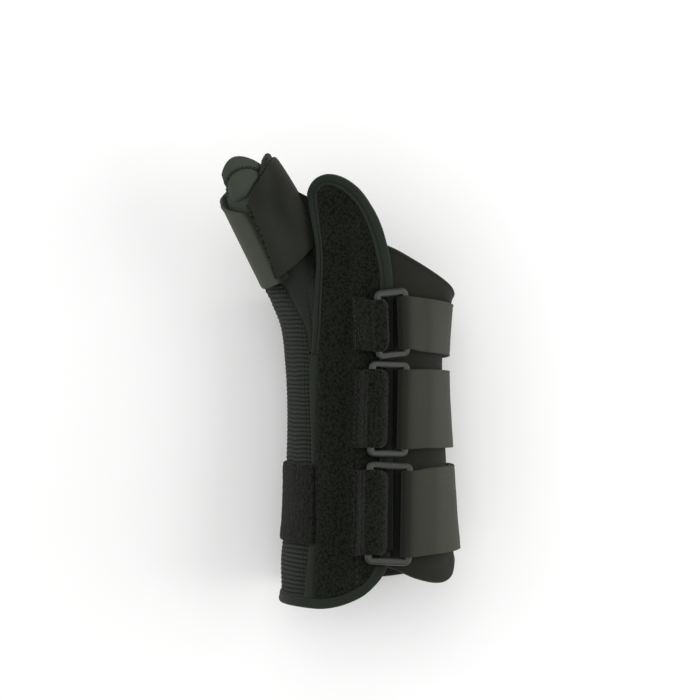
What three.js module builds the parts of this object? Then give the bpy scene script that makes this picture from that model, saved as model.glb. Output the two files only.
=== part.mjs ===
// Thumb spica splint for a right hand: a padded wrist and forearm sleeve with a thumb channel.
// It lies closed on its little-finger side, in millimetres: +Y runs from the forearm to the
// fingertips, +X to the back of the hand and +Z up to the thumb side.
// Every soft piece is a box bent over the sleeve: across it, along it and through its thickness.
import * as THREE from "three";

// The sleeve
const SLEEVE_LENGTH = 206; // forearm hem to the tip of the thumb-side panel
const HOLLOW_WIDTH = 68; // inside, at the wrist
const HOLLOW_HEIGHT = 57;
const PAD_WALL = 3.5; // padded, plush-faced cloth
const RIB_WALL = 2.5; // ribbed elastic
const FIT_GAP = 0.3; // between neighbouring pieces
const TOP_ROUND = 0.46; // corner radii of the hollow, as shares of its width
const LOW_ROUND = 0.3;
const SEAM_AT = 0.69; // where the pad meets the ribbed panel, as a share of the way round

// The edges and trims
const BINDING_WIDTH = 5;
const HEM_BINDING_WIDTH = 4.2;
const BINDING_PROUD = 0.6; // how far a rolled binding stands above its wall
const BAND_THICK = 1.4;
const BAND_INSET = 3; // how much narrower the palm band is than the forearm strap
const HEM_RISE = 24; // how far the hem climbs at the open side
const LEAF_SHOULDER = 154; // where the thumb-side panel's free edge starts to round over
const LEAF_BLUNT = 1.9; // 2 would be an ellipse
const LEAF_PEAK = 0.18; // where its tip is, across the panel
const LEAF_HEEL = 6; // how far its palm-side corner lies below the tip
const PAD_LAP = 5; // how far the pad reaches under the thumb-side panel
const LAP_GAP = 0.5; // between the two there

// The closure
const STRAP_THICK = 1.5;
const STRAP_GAP = 0.5; // between a strap and the pad
const HAND_STRAP_WIDTH = 25.4;
const WRIST_STRAP_WIDTH = 37.6;
const FOREARM_STRAP_WIDTH = 40.5;
const HAND_STRAP_DROP = 9; // how far it has dropped towards the forearm by its end
const WRIST_STRAP_DROP = 4;
const STRAP_SETTLE = 20; // how far past its ring a strap comes down to its lower layer
const STRAP_FOLD = 1; // from its ring to where its two layers part
const HAND_RING_WIDTH = 17.2;
const WRIST_RING_WIDTH = 20.2;
const FOREARM_RING_WIDTH = 22.8;
const HAND_RING_GAP = 0.67; // from the wrist's ring
const FOREARM_RING_GAP = 1.77;
const RING_BAR = 3.6; // width of a ring's bars
const RING_THICK = 3;
const RING_BEVEL = 0.8;
const RING_CORNER = 3.4;
const RING_CLEAR = 0.7; // between a ring and the panel's binding under it
const RING_SLACK = 0.8; // a ring's slot is this much longer than its strap is wide
const RING_LEAN = 6; // degrees that a ring leans towards the back of the hand
const TAB_THICK = 1.3;
const HAND_TAB_LENGTH = 9; // from its ring's bar to its sewn edge
const WRIST_TAB_LENGTH = 8;
const FOREARM_TAB_LENGTH = 7.6;

// The thumb
const THUMB_RADIUS = 10.5; // inside the channel
const THUMB_WALL = 3;
const CHANNEL_LENGTH = 99; // from its rim to the point of its V on the sleeve
const CHANNEL_TIP = 122; // height of that point above the forearm hem
const CHANNEL_SEAT = 1.5; // between that point and the pieces below it
const RIM_RISE = 1.3; // how far the rim's highest point is above the end of the thumb's axis
const RIM_ARCH = 7.1; // how far it has dropped by 45 degrees round
const THUMB_STRAP_WIDTH = 45.5;
const THUMB_STRAP_LOOSE = 2.4; // how far the loop stands off behind the thumb
const THUMB_STRAP_SKEW = 12; // degrees by which its end edge leans
const POCKET_THICK = 1.4;
const POCKET_TOP = 6.3; // rim to pocket
const POCKET_LENGTH = 12.2;
const POCKET_SKEW = 5; // how much shorter its back side is

// The thumb's axis at the rim and at its base, as shares of the hollow's width, the sleeve's
// length and the hollow's height.
const THUMB_RIM = { across: -0.926, along: 1.038, high: 0.965 };
const THUMB_BASE = { across: -0.569, along: 0.798, high: 0.87 };

// Sections of the hollow: a row for each height along the sleeve, as shares of its length,
// width and height; shift moves the section towards the back of the hand, as a share of the width.
const SECTIONS = [
  { along: 0.0, width: 1.138, height: 1.19, shift: -0.01 },
  { along: 0.1, width: 1.153, height: 1.17, shift: -0.009 },
  { along: 0.2, width: 1.102, height: 1.1, shift: -0.005 },
  { along: 0.34, width: 1.069, height: 1.03, shift: -0.014 },
  { along: 0.48, width: 1.043, height: 0.99, shift: -0.026 },
  { along: 0.57, width: 1.053, height: 1.0, shift: -0.035 },
  { along: 0.65, width: 1.093, height: 1.05, shift: -0.046 },
  { along: 0.71, width: 1.185, height: 1.11, shift: -0.071 },
  { along: 0.75, width: 1.27, height: 1.14, shift: -0.075 },
  { along: 0.83, width: 1.199, height: 1.15, shift: -0.048 },
  { along: 1.0, width: 1.13, height: 1.12, shift: -0.015 },
];

// Side edges of the plush thumb-side panel and the near edge of the ribbed palm panel, as shares
// of the hollow's width from its middle, and the width of the panel's left binding as a share.
const PANEL_EDGES = [
  { along: 0.0, left: -0.377, right: 0.086, palm: -0.461, binding: 0.64 },
  { along: 0.15, left: -0.368, right: 0.082, palm: -0.416, binding: 0.64 },
  { along: 0.33, left: -0.362, right: 0.089, palm: -0.392, binding: 0.64 },
  { along: 0.52, left: -0.332, right: 0.105, palm: -0.395, binding: 0.64 },
  { along: 0.59, left: -0.316, right: 0.113, palm: -0.387, binding: 0.64 },
  { along: 0.65, left: -0.292, right: 0.122, palm: -0.408, binding: 0.62 },
  { along: 0.74, left: -0.249, right: 0.151, palm: -0.52, binding: 0.55 },
  { along: 0.83, left: -0.277, right: 0.113, palm: -0.616, binding: 0.48 },
  { along: 0.92, left: -0.326, right: 0.099, palm: -0.681, binding: 0.75 },
  { along: 1.0, left: -0.355, right: 0.09, palm: -0.7, binding: 1.0 },
];

// Upper and lower edge of the pad, as shares of the sleeve's length, at shares of the way from
// its lap under the thumb-side panel, over the back of the hand and under, to the palm side.
const PAD_EDGES = [
  { round: 0.0, top: 0.845, foot: 0.104 },
  { round: 0.06, top: 0.835, foot: 0.096 },
  { round: 0.14, top: 0.803, foot: 0.068 },
  { round: 0.22, top: 0.77, foot: 0.054 },
  { round: 0.28, top: 0.745, foot: 0.062 },
  { round: 0.33, top: 0.73, foot: 0.092 },
  { round: 0.42, top: 0.722, foot: 0.1 },
  { round: 0.6, top: 0.725, foot: 0.045 },
  { round: 1.0, top: 0.738, foot: 0.022 },
];

// Sides of the thumb channel from its V to its rim: how far it is lifted off the sleeve, and how
// far it reaches round the thumb on each side of its ridge, in degrees.
const CHANNEL_SIDES = [
  { up: 0.0, lift: 0.0, palm: 95, back: 88 },
  { up: 0.34, lift: 0.0, palm: 95, back: 88 },
  { up: 0.38, lift: 0.25, palm: 95, back: 86 },
  { up: 0.46, lift: 0.95, palm: 95, back: 84 },
  { up: 0.52, lift: 1.0, palm: 95, back: 82 },
  { up: 0.72, lift: 1.0, palm: 93, back: 76 },
  { up: 0.82, lift: 1.0, palm: 84, back: 68 },
  { up: 0.88, lift: 1.0, palm: 66, back: 58 },
  { up: 0.95, lift: 1.0, palm: 49, back: 50 },
  { up: 1.0, lift: 1.0, palm: 44, back: 46 },
];

// The thumb strap's upper and lower edges: degrees turned round the thumb from its ridge by way
// of the palm, distances below the rim as shares of the strap's width, and which layer it is.
const THUMB_STRAP_RUN = [
  { turn: 8, top: 0.637, foot: 1.345, layer: 0 },
  { turn: 45, top: 0.484, foot: 1.36, layer: 0 },
  { turn: 90, top: 0.341, foot: 1.345, layer: 0 },
  { turn: 135, top: 0.264, foot: 1.27, layer: 0 },
  { turn: 180, top: 0.209, foot: 1.209, layer: 0 },
  { turn: 225, top: 0.165, foot: 1.165, layer: 0 },
  { turn: 270, top: 0.154, foot: 1.15, layer: 0.5 },
  { turn: 310, top: 0.2, foot: 1.19, layer: 1 },
  { turn: 345, top: 0.325, foot: 1.25, layer: 1 },
  { turn: 385, top: 0.5, foot: 1.305, layer: 1.1 },
];

// The three straps that close the back of the hand: how far across the sleeve each ring's middle
// is, which side of the wrist's ring it lies on and how far off it, the sizes, and how many
// degrees the ring is twisted towards the forearm.
const CLOSURES = [
  {
    name: "hand",
    across: 0.182,
    side: 1,
    gap: HAND_RING_GAP,
    drop: HAND_STRAP_DROP,
    strap: HAND_STRAP_WIDTH,
    ring: HAND_RING_WIDTH,
    tab: HAND_TAB_LENGTH,
    twist: 4,
  },
  {
    name: "wrist",
    across: 0.143,
    side: 0,
    gap: 0,
    drop: WRIST_STRAP_DROP,
    strap: WRIST_STRAP_WIDTH,
    ring: WRIST_RING_WIDTH,
    tab: WRIST_TAB_LENGTH,
    twist: 3,
  },
  {
    name: "forearm",
    across: 0.13,
    side: -1,
    gap: FOREARM_RING_GAP,
    drop: 0,
    strap: FOREARM_STRAP_WIDTH,
    ring: FOREARM_RING_WIDTH,
    tab: FOREARM_TAB_LENGTH,
    twist: 1.5,
  },
];
const [, wristClosure, forearmClosure] = CLOSURES;
const WRIST_RING_AT = 0.46; // middle of the wrist's ring, as a share of the sleeve's length
const STRAP_SEWN_AT = 0.33; // shares of the way round the sleeve from the ridge of the thumb side
const STRAP_END_AT = 0.61;

const COLOURS = {
  plush: 0x1a1d16,
  rib: 0x272c26,
  pad: 0x2a2b24,
  smooth: 0x30362f,
  strap: 0x46483e,
  ring: 0x43463f,
};

const { lerp, degToRad, smoothstep, clamp } = THREE.MathUtils;
const steps = (count) => Array.from({ length: count + 1 }, (_, i) => i / count);

const hollowFloor = STRAP_THICK + STRAP_GAP + PAD_WALL; // the straps rest on the ground
const overlapStep = PAD_WALL + LAP_GAP; // the thumb-side panel laps over the pad
const leafTip = SLEEVE_LENGTH - BINDING_WIDTH - FIT_GAP;
const hemHeight = HEM_BINDING_WIDTH + FIT_GAP;
const palmTop = read(PAD_EDGES, "round", 1, "top") * SLEEVE_LENGTH;
const layerStep = STRAP_THICK + FIT_GAP;

// Smooth value of one column of a table whose first column is key.
function read(table, key, at, column) {
  const last = table.length - 1;
  let i = 0;
  while (i < last - 1 && at > table[i + 1][key]) i += 1;
  const slope = (j) => {
    const before = table[Math.max(j - 1, 0)];
    const after = table[Math.min(j + 1, last)];
    return (after[column] - before[column]) / (after[key] - before[key]);
  };
  const [a, b] = [table[i], table[i + 1]];
  const span = b[key] - a[key];
  const u = clamp((at - a[key]) / span, 0, 1);
  return (
    (2 * u ** 3 - 3 * u ** 2 + 1) * a[column] +
    (u ** 3 - 2 * u ** 2 + u) * span * slope(i) +
    (3 * u ** 2 - 2 * u ** 3) * b[column] +
    (u ** 3 - u ** 2) * span * slope(i + 1)
  );
}

// The hollow's section at a distance from the hem: a rounded rectangle, flat underneath.
function sectionAt(y) {
  const along = y / SLEEVE_LENGTH;
  const width = HOLLOW_WIDTH * read(SECTIONS, "along", along, "width");
  const height = HOLLOW_HEIGHT * read(SECTIONS, "along", along, "height");
  const centre = HOLLOW_WIDTH * read(SECTIONS, "along", along, "shift");
  const fit = Math.min(1, height / (width * (TOP_ROUND + LOW_ROUND)));
  const top = width * TOP_ROUND * fit;
  const low = width * LOW_ROUND * fit;
  const topFlat = width / 2 - top;
  const side = height - top - low;
  const lowFlat = width / 2 - low;
  const round = 2 * (topFlat + side + lowFlat) + Math.PI * (top + low);
  return { width, height, centre, top, low, topFlat, side, lowFlat, round };
}

// A point that lies arc round the hollow from its ridge (positive towards the back of the hand),
// at a distance y from the hem and raised off the hollow's surface.
function onSleeve(arc, y, raise) {
  const s = sectionAt(y);
  const wrapped = arc - s.round * Math.round(arc / s.round);
  const hand = wrapped < 0 ? -1 : 1;
  const highest = hollowFloor + s.height;
  const topArc = (s.top * Math.PI) / 2;
  const lowArc = (s.low * Math.PI) / 2;
  let rest = Math.abs(wrapped);
  let x = rest;
  let z = highest + raise;
  if (rest > s.topFlat + topArc + s.side + lowArc) {
    x = s.topFlat + topArc + s.side + lowArc + s.lowFlat - rest;
    z = hollowFloor - raise;
  } else if (rest > s.topFlat + topArc + s.side) {
    rest -= s.topFlat + topArc + s.side;
    x = s.lowFlat + (s.low + raise) * Math.cos(rest / s.low);
    z = hollowFloor + s.low - (s.low + raise) * Math.sin(rest / s.low);
  } else if (rest > s.topFlat + topArc) {
    x = s.width / 2 + raise;
    z = highest - s.top - (rest - s.topFlat - topArc);
  } else if (rest > s.topFlat) {
    rest -= s.topFlat;
    x = s.topFlat + (s.top + raise) * Math.sin(rest / s.top);
    z = highest - s.top + (s.top + raise) * Math.cos(rest / s.top);
  }
  return new THREE.Vector3(s.centre + hand * x, y, z);
}

// The arc at which the padded wall's outer face lies this share of the width from its middle.
function arcAt(y, share) {
  const s = sectionAt(y);
  const x = Math.abs(share) * HOLLOW_WIDTH;
  const turned = Math.asin(clamp((x - s.topFlat) / (s.top + PAD_WALL), 0, 1));
  return Math.sign(share) * (x <= s.topFlat ? x : s.topFlat + s.top * turned);
}

const roundAt = (y, share) => share * sectionAt(y).round;
const edgeAt = (y, side) => arcAt(y, read(PANEL_EDGES, "along", y / SLEEVE_LENGTH, side));

// A box with across x along cells, bent by place(a, b, c), each from 0 to 1.
function bent(across, along, place) {
  const geometry = new THREE.BoxGeometry(1, 1, 1, across, along, 1);
  const points = geometry.getAttribute("position");
  for (let i = 0; i < points.count; i += 1) {
    const p = place(points.getX(i) + 0.5, points.getY(i) + 0.5, points.getZ(i) + 0.5);
    points.setXYZ(i, p.x, p.y, p.z);
  }
  return facingOut(geometry);
}

// Turns a closed geometry's faces round where the bend has mirrored it.
function facingOut(geometry) {
  const points = geometry.getAttribute("position");
  const index = geometry.index.array;
  const [a, b, c] = [new THREE.Vector3(), new THREE.Vector3(), new THREE.Vector3()];
  let volume = 0;
  for (let i = 0; i < index.length; i += 3) {
    a.fromBufferAttribute(points, index[i]);
    b.fromBufferAttribute(points, index[i + 1]);
    c.fromBufferAttribute(points, index[i + 2]);
    volume += a.dot(b.cross(c));
  }
  if (volume < 0) {
    for (let i = 0; i < index.length; i += 3) {
      [index[i], index[i + 1]] = [index[i + 1], index[i]];
    }
  }
  return geometry;
}

// A ribbon whose length follows the list of points that route(b, c) gives for a place b across
// it and c through its thickness.
function ribbon(rows, route) {
  const cells = route(0, 0).length - 1;
  return bent(cells, rows, (a, b, c) => route(b, c)[Math.round(a * cells)]);
}

const splint = new THREE.Group();

function add(name, geometry, finish, roughness = 0.9) {
  const material = new THREE.MeshStandardMaterial({ color: COLOURS[finish], roughness, metalness: 0 });
  const mesh = new THREE.Mesh(geometry, material);
  mesh.name = name;
  splint.add(mesh);
  return mesh;
}

// The plush thumb-side panel: its foot and top at a share of the way across it
const panelFoot = (a) => hemHeight + HEM_RISE * (1 - Math.sqrt(1 - a * a));

function panelTop(a) {
  if (a < LEAF_PEAK) return leafTip - LEAF_HEEL * (1 - Math.sqrt(1 - (1 - a / LEAF_PEAK) ** 2));
  const out = (a - LEAF_PEAK) / (1 - LEAF_PEAK);
  const rise = Math.max(0, 1 - out ** LEAF_BLUNT) ** (1 / LEAF_BLUNT);
  return lerp(LEAF_SHOULDER, leafTip, rise);
}

const panelArc = (a, y) => lerp(edgeAt(y, "left"), edgeAt(y, "right"), a);
const panelRaise = (a) => overlapStep * smoothstep(a, 0.45, 0.8); // it climbs onto the pad
const panelColumns = steps(14).map((u) => (1 - Math.cos(u * Math.PI)) / 2); // finer at its edges

function makePanel() {
  const last = panelColumns.length - 1;
  const shape = bent(last, 15, (column, b, c) => {
    const a = panelColumns[Math.round(column * last)];
    const y = lerp(panelFoot(a), panelTop(a), b);
    return onSleeve(panelArc(a, y), y, panelRaise(a) + PAD_WALL * c);
  });
  add("thumb_side_panel", shape, "plush", 0.98);
}

// A rolled strip that runs along an outline on the sleeve, a gap outside it. The outline's points
// are arc, y and raise, and the strip lies to its right, or to its left where side is -1.
function bindingAlong(outline, side, width) {
  const last = outline.length - 1;
  const course = (i) => {
    const [from, to] = [outline[clamp(i, 0, last - 1)], outline[clamp(i, 0, last - 1) + 1]];
    return new THREE.Vector2(to.x - from.x, to.y - from.y).normalize();
  };
  return bent(last, 2, (a, b, c) => {
    const i = Math.round(a * last);
    const p = outline[i];
    const t = course(i - 1).add(course(i)).divideScalar(2);
    const out = (side * (FIT_GAP + b * width(i, p.y))) / t.lengthSq();
    const roll = b === 0.5 ? BINDING_PROUD : 0;
    return onSleeve(p.x + t.y * out, p.y - t.x * out, p.z + c * (PAD_WALL + roll));
  });
}

const panelPoint = (a, y) => new THREE.Vector3(panelArc(a, y), y, panelRaise(a));

function makeBindings() {
  const fork = CHANNEL_TIP - CHANNEL_SEAT;
  const leftSide = steps(9).slice(0, -1).map((u) => panelPoint(0, lerp(fork, panelTop(0), u)));
  const leaf = [
    ...leftSide,
    ...panelColumns.map((a) => panelPoint(a, panelTop(a))),
    ...steps(12).slice(1).map((u) => panelPoint(1, lerp(LEAF_SHOULDER, panelFoot(1), u))),
  ];
  const leafWidth = (i, y) => {
    const share = read(PANEL_EDGES, "along", y / SLEEVE_LENGTH, "binding");
    return BINDING_WIDTH * (i > leftSide.length ? 1 : share);
  };
  add("panel_binding", bindingAlong(leaf, -1, leafWidth), "smooth");

  const palmEnd = roundAt(hemHeight, SEAM_AT - 1);
  const hem = [
    ...steps(9).slice(0, -1).map((u) => {
      return new THREE.Vector3(lerp(palmEnd, edgeAt(hemHeight, "left"), u), hemHeight, 0);
    }),
    ...panelColumns.map((a) => panelPoint(a, panelFoot(a))),
  ];
  hem.at(-1).y -= FIT_GAP;
  add("hem_binding", bindingAlong(hem, 1, () => HEM_BINDING_WIDTH), "smooth");
}

// The ribbed palm panel, the strip beside it and the plush band across it
const palmEdgeAt = (y) => edgeAt(y, "palm");

function makePalmSide() {
  const palm = bent(14, 14, (a, b, c) => {
    const y = b < 0.5 ? lerp(hemHeight, CHANNEL_TIP, 2 * b) : lerp(CHANNEL_TIP, palmTop, 2 * b - 1);
    return onSleeve(lerp(palmEdgeAt(y), roundAt(y, SEAM_AT - 1) + FIT_GAP, a), y, RIB_WALL * c);
  });
  add("palm_panel", palm, "rib");

  const strip = bent(1, 14, (a, b, c) => {
    const y = lerp(hemHeight, CHANNEL_TIP - CHANNEL_SEAT, b);
    return onSleeve(lerp(palmEdgeAt(y) + FIT_GAP, edgeAt(y, "left") - FIT_GAP, a), y, RIB_WALL * c);
  });
  add("edge_strip", strip, "smooth");

  const band = bent(12, 4, (a, b, c) => {
    const y = ringHeight(forearmClosure) + (b - 0.42) * (FOREARM_STRAP_WIDTH - BAND_INSET);
    const raise = RIB_WALL + FIT_GAP + BAND_THICK * c;
    return onSleeve(lerp(edgeAt(y, "left") - FIT_GAP, roundAt(y, SEAM_AT - 0.98), a), y, raise);
  });
  add("palm_band", band, "plush", 0.98);
}

// The pad over the back of the hand and the underside
function makePad() {
  const pad = bent(30, 18, (a, b, c) => {
    const foot = SLEEVE_LENGTH * read(PAD_EDGES, "round", a, "foot");
    const top = SLEEVE_LENGTH * read(PAD_EDGES, "round", a, "top");
    const y = lerp(foot, top, b);
    return onSleeve(lerp(edgeAt(y, "right") - PAD_LAP, roundAt(y, SEAM_AT), a), y, PAD_WALL * c);
  });
  add("back_pad", pad, "pad");
}

// The thumb channel

function thumbPoint(end) {
  const z = hollowFloor + end.high * HOLLOW_HEIGHT;
  return new THREE.Vector3(end.across * HOLLOW_WIDTH, end.along * SLEEVE_LENGTH, z);
}

const thumbRim = thumbPoint(THUMB_RIM);
const thumbDown = thumbPoint(THUMB_BASE).sub(thumbRim).normalize();
const thumbSide = new THREE.Vector3(-thumbDown.y, thumbDown.x, 0).normalize();
const thumbUp = thumbDown.clone().cross(thumbSide);

// A point round the thumb: degrees turned from its ridge towards the palm, distance below the rim.
function onThumb(turn, drop, radius) {
  const angle = degToRad(turn);
  return thumbRim
    .clone()
    .addScaledVector(thumbDown, drop)
    .addScaledVector(thumbUp, radius * Math.cos(angle))
    .addScaledVector(thumbSide, -radius * Math.sin(angle));
}

// The rim is an arch, highest a little to the palm side of the ridge.
const rimDrop = (turn) => RIM_ARCH * ((turn - 6) / 45) ** 2 - RIM_RISE;

function makeChannel() {
  const topSides = CHANNEL_SIDES.at(-1);
  const shape = bent(10, 20, (a, b, c) => {
    const up = b;
    const column = (name) => read(CHANNEL_SIDES, "up", up, name);
    const drop = lerp(CHANNEL_LENGTH, rimDrop(lerp(topSides.palm, -topSides.back, a)), up);
    const tube = onThumb(lerp(column("palm"), -column("back"), a), drop, THUMB_RADIUS + THUMB_WALL * c);
    const y = CHANNEL_TIP + up * CHANNEL_LENGTH * -thumbDown.y;
    const bindingShare = read(PANEL_EDGES, "along", y / SLEEVE_LENGTH, "binding");
    const right = edgeAt(y, "left") - BINDING_WIDTH * bindingShare - 2 * FIT_GAP;
    const flat = onSleeve(lerp(palmEdgeAt(y) + FIT_GAP, right, a), y, THUMB_WALL * c);
    return flat.lerp(tube, clamp(column("lift"), 0, 1));
  });
  add("thumb_channel", shape, "smooth");

  const pocketRadius = THUMB_RADIUS + THUMB_WALL + FIT_GAP;
  const pocket = bent(8, 4, (a, b, c) => {
    const turn = lerp(46, -26, a);
    const foot = POCKET_TOP + POCKET_LENGTH - POCKET_SKEW * smoothstep(a, 0.4, 1);
    return onThumb(turn, lerp(foot, rimDrop(turn) + POCKET_TOP, b), pocketRadius + POCKET_THICK * c);
  });
  add("thumb_stay_pocket", pocket, "smooth");
}

function makeThumbStrap() {
  const first = THUMB_STRAP_RUN[0].turn;
  const last = THUMB_STRAP_RUN.at(-1).turn;
  const shape = bent(34, 3, (a, b, c) => {
    const turn = lerp(first, last - THUMB_STRAP_SKEW * (1 - b), a);
    const column = (name) => read(THUMB_STRAP_RUN, "turn", turn, name);
    const drop = THUMB_STRAP_WIDTH * lerp(column("top"), column("foot"), b);
    const loose = (THUMB_STRAP_LOOSE * (1 - Math.cos(degToRad(turn)))) / 2;
    const radius = THUMB_RADIUS + THUMB_WALL + FIT_GAP + loose + layerStep * column("layer");
    return onThumb(turn, drop, radius + STRAP_THICK * c);
  });
  add("thumb_strap", shape, "strap");
}

// The rings, their tabs and straps

const ringLength = (closure) => closure.strap + RING_SLACK + 2 * RING_BAR;

function ringHeight(closure) {
  const apart = (ringLength(wristClosure) + ringLength(closure)) / 2 + closure.gap;
  return WRIST_RING_AT * SLEEVE_LENGTH + closure.side * apart;
}

// Where a ring lies: its middle and its own three directions.
function ringFrame(closure) {
  const y = ringHeight(closure);
  const arcBeside = (place) => arcAt(y + place, closure.across);
  const arc = arcBeside(0);
  const reach = closure.ring / 2 - RING_BAR / 2;
  const lean = degToRad(RING_LEAN);
  const under = overlapStep + PAD_WALL + BINDING_PROUD + TAB_THICK + 2 * FIT_GAP + RING_CLEAR;
  const raise = under + RING_THICK / 2 - reach * Math.sin(lean);
  const middle = onSleeve(arc, y, raise);
  const span = closure.strap / 2;
  const along = onSleeve(arcBeside(span), y + span, raise);
  along.sub(onSleeve(arcBeside(-span), y - span, raise)).normalize();
  const across = onSleeve(arc + 1, y, raise).sub(onSleeve(arc - 1, y, raise)).normalize();
  const out = across.clone().cross(along).normalize();
  out.applyAxisAngle(along, lean);
  along.applyAxisAngle(out, -degToRad(closure.twist));
  return { y, arc, arcBeside, reach, middle, along, across: along.clone().cross(out), out };
}

// Makes the way round a bar squarer than an ellipse.
const squared = (value) => Math.sign(value) * Math.abs(value) ** 0.7;

// A point beside one of a ring's long bars, turned round it from beneath: side is -1 for the
// tab's bar and 1 for the strap's, and away is the distance from the bar's face.
function roundBar(frame, side, turn, place, away) {
  const angle = degToRad(turn);
  return frame.middle
    .clone()
    .addScaledVector(frame.along, place)
    .addScaledVector(frame.across, side * (frame.reach - (RING_BAR / 2 + away) * squared(Math.sin(angle))))
    .addScaledVector(frame.out, -(RING_THICK / 2 + away) * squared(Math.cos(angle)));
}

function roundedRectangle(path, width, length, corner) {
  const [x, y] = [width / 2, length / 2];
  path.moveTo(x - corner, -y);
  path.absarc(x - corner, corner - y, corner, -Math.PI / 2, 0, false);
  path.absarc(x - corner, y - corner, corner, 0, Math.PI / 2, false);
  path.absarc(corner - x, y - corner, corner, Math.PI / 2, Math.PI, false);
  path.absarc(corner - x, corner - y, corner, Math.PI, 1.5 * Math.PI, false);
  return path;
}

function makeRing(closure, frame) {
  const slot = closure.strap + RING_SLACK;
  const outer = roundedRectangle(
    new THREE.Shape(),
    closure.ring - 2 * RING_BEVEL,
    slot + 2 * (RING_BAR - RING_BEVEL),
    RING_CORNER - RING_BEVEL,
  );
  const hole = roundedRectangle(
    new THREE.Path(),
    closure.ring - 2 * (RING_BAR - RING_BEVEL),
    slot + 2 * RING_BEVEL,
    2 * RING_BEVEL,
  );
  outer.holes.push(hole);
  const geometry = new THREE.ExtrudeGeometry(outer, {
    depth: RING_THICK - 2 * RING_BEVEL,
    bevelThickness: RING_BEVEL,
    bevelSize: RING_BEVEL,
    bevelSegments: 2,
    curveSegments: 3,
  });
  geometry.translate(0, 0, RING_BEVEL - RING_THICK / 2);
  const ring = add(`${closure.name}_ring`, geometry, "ring", 0.45);
  const turned = new THREE.Matrix4().makeBasis(frame.across, frame.along, frame.out);
  ring.setRotationFromMatrix(turned);
  ring.position.copy(frame.middle);
}

// Each layer starts or ends where the route has turned round the bar, a gap off it.
function barTurns(frame, side, place, thick, c) {
  return steps(8).map((u) => roundBar(frame, side, lerp(-45, 225, u), place, FIT_GAP + thick * c));
}

function makeTab(closure, frame) {
  const width = closure.strap - RING_SLACK;
  const { top } = sectionAt(frame.y);
  const barReach = (frame.reach * top) / (top + PAD_WALL);
  const onPanel = (back, place, raise) => {
    const y = frame.y + place;
    const arc = frame.arcBeside(place) - barReach - back + place * Math.tan(degToRad(closure.twist));
    const a = clamp((arc - edgeAt(y, "left")) / (edgeAt(y, "right") - edgeAt(y, "left")), 0, 1);
    return onSleeve(arc, y, panelRaise(a) + PAD_WALL + FIT_GAP + raise);
  };
  const tab = ribbon(2, (b, c) => {
    const place = (b - 0.5) * width;
    const leaf = (layer, u) => {
      const raise = layer * (TAB_THICK + FIT_GAP) + TAB_THICK * (layer ? c : 1 - c);
      return onPanel(lerp(closure.tab, 1.7 * RING_BAR, u), place, raise);
    };
    return [
      ...steps(2).map((u) => leaf(0, u)),
      ...barTurns(frame, -1, place, TAB_THICK, c),
      ...steps(2).map((u) => leaf(1, 1 - u)),
    ];
  });
  add(`${closure.name}_tab`, tab, "plush", 0.98);
}

function makeStrap(closure, frame) {
  const near = frame.arc + closure.ring / 2 + STRAP_FOLD;
  const far = roundAt(frame.y, STRAP_END_AT);
  const sewn = roundAt(frame.y, STRAP_SEWN_AT);
  const folded = layerStep + RING_THICK + FIT_GAP;
  const strap = ribbon(4, (b, c) => {
    const place = (b - 0.5) * closure.strap;
    const at = (arc, raise) => {
      const side = place - (closure.drop * (arc - near)) / (far - near);
      const skew = frame.arcBeside(side) - frame.arc + side * Math.tan(degToRad(closure.twist));
      return onSleeve(arc + skew, frame.y + side, PAD_WALL + STRAP_GAP + raise);
    };
    const upper = (u) => {
      const arc = lerp(near, far, u);
      const risen = lerp(folded, layerStep, smoothstep(arc, near - STRAP_SETTLE / 2, near + STRAP_SETTLE));
      const lowered = risen * (1 - smoothstep(arc, sewn, sewn + STRAP_SETTLE / 2));
      return at(arc, lowered + STRAP_THICK * c);
    };
    return [
      ...steps(8).map((u) => at(lerp(sewn - FIT_GAP, near, u), STRAP_THICK * (1 - c))),
      ...barTurns(frame, 1, place, STRAP_THICK, c),
      ...steps(23).map(upper),
    ];
  });
  add(`${closure.name}_strap`, strap, "strap");
}

makePanel();
makeBindings();
makePalmSide();
makePad();
makeChannel();
makeThumbStrap();
for (const closure of CLOSURES) {
  const frame = ringFrame(closure);
  makeRing(closure, frame);
  makeTab(closure, frame);
  makeStrap(closure, frame);
}

// Stands the splint on the ground with its box centred over the origin.
splint.updateMatrixWorld(true);
const box = new THREE.Box3().setFromObject(splint, true);
const middle = box.getCenter(new THREE.Vector3());
splint.position.set(-middle.x, -middle.y, -box.min.z);

export default splint;
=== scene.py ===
"""Thumb spica splint, right-handed, lying on its little-finger side.

Every soft piece is a grid bent over the sleeve or round the thumb: a is the share across it, b the
share along it and c the share through its thickness. Places are in millimetres from the hem.
"""
from bisect import bisect_right
from collections import namedtuple
from functools import cached_property, lru_cache
from math import asin, copysign, cos, exp, pi, radians, sin, sqrt, tan, tau

import bmesh
import bpy
from bpy.props import FloatProperty, FloatVectorProperty, PointerProperty
from mathutils import Matrix, Vector, noise


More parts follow.
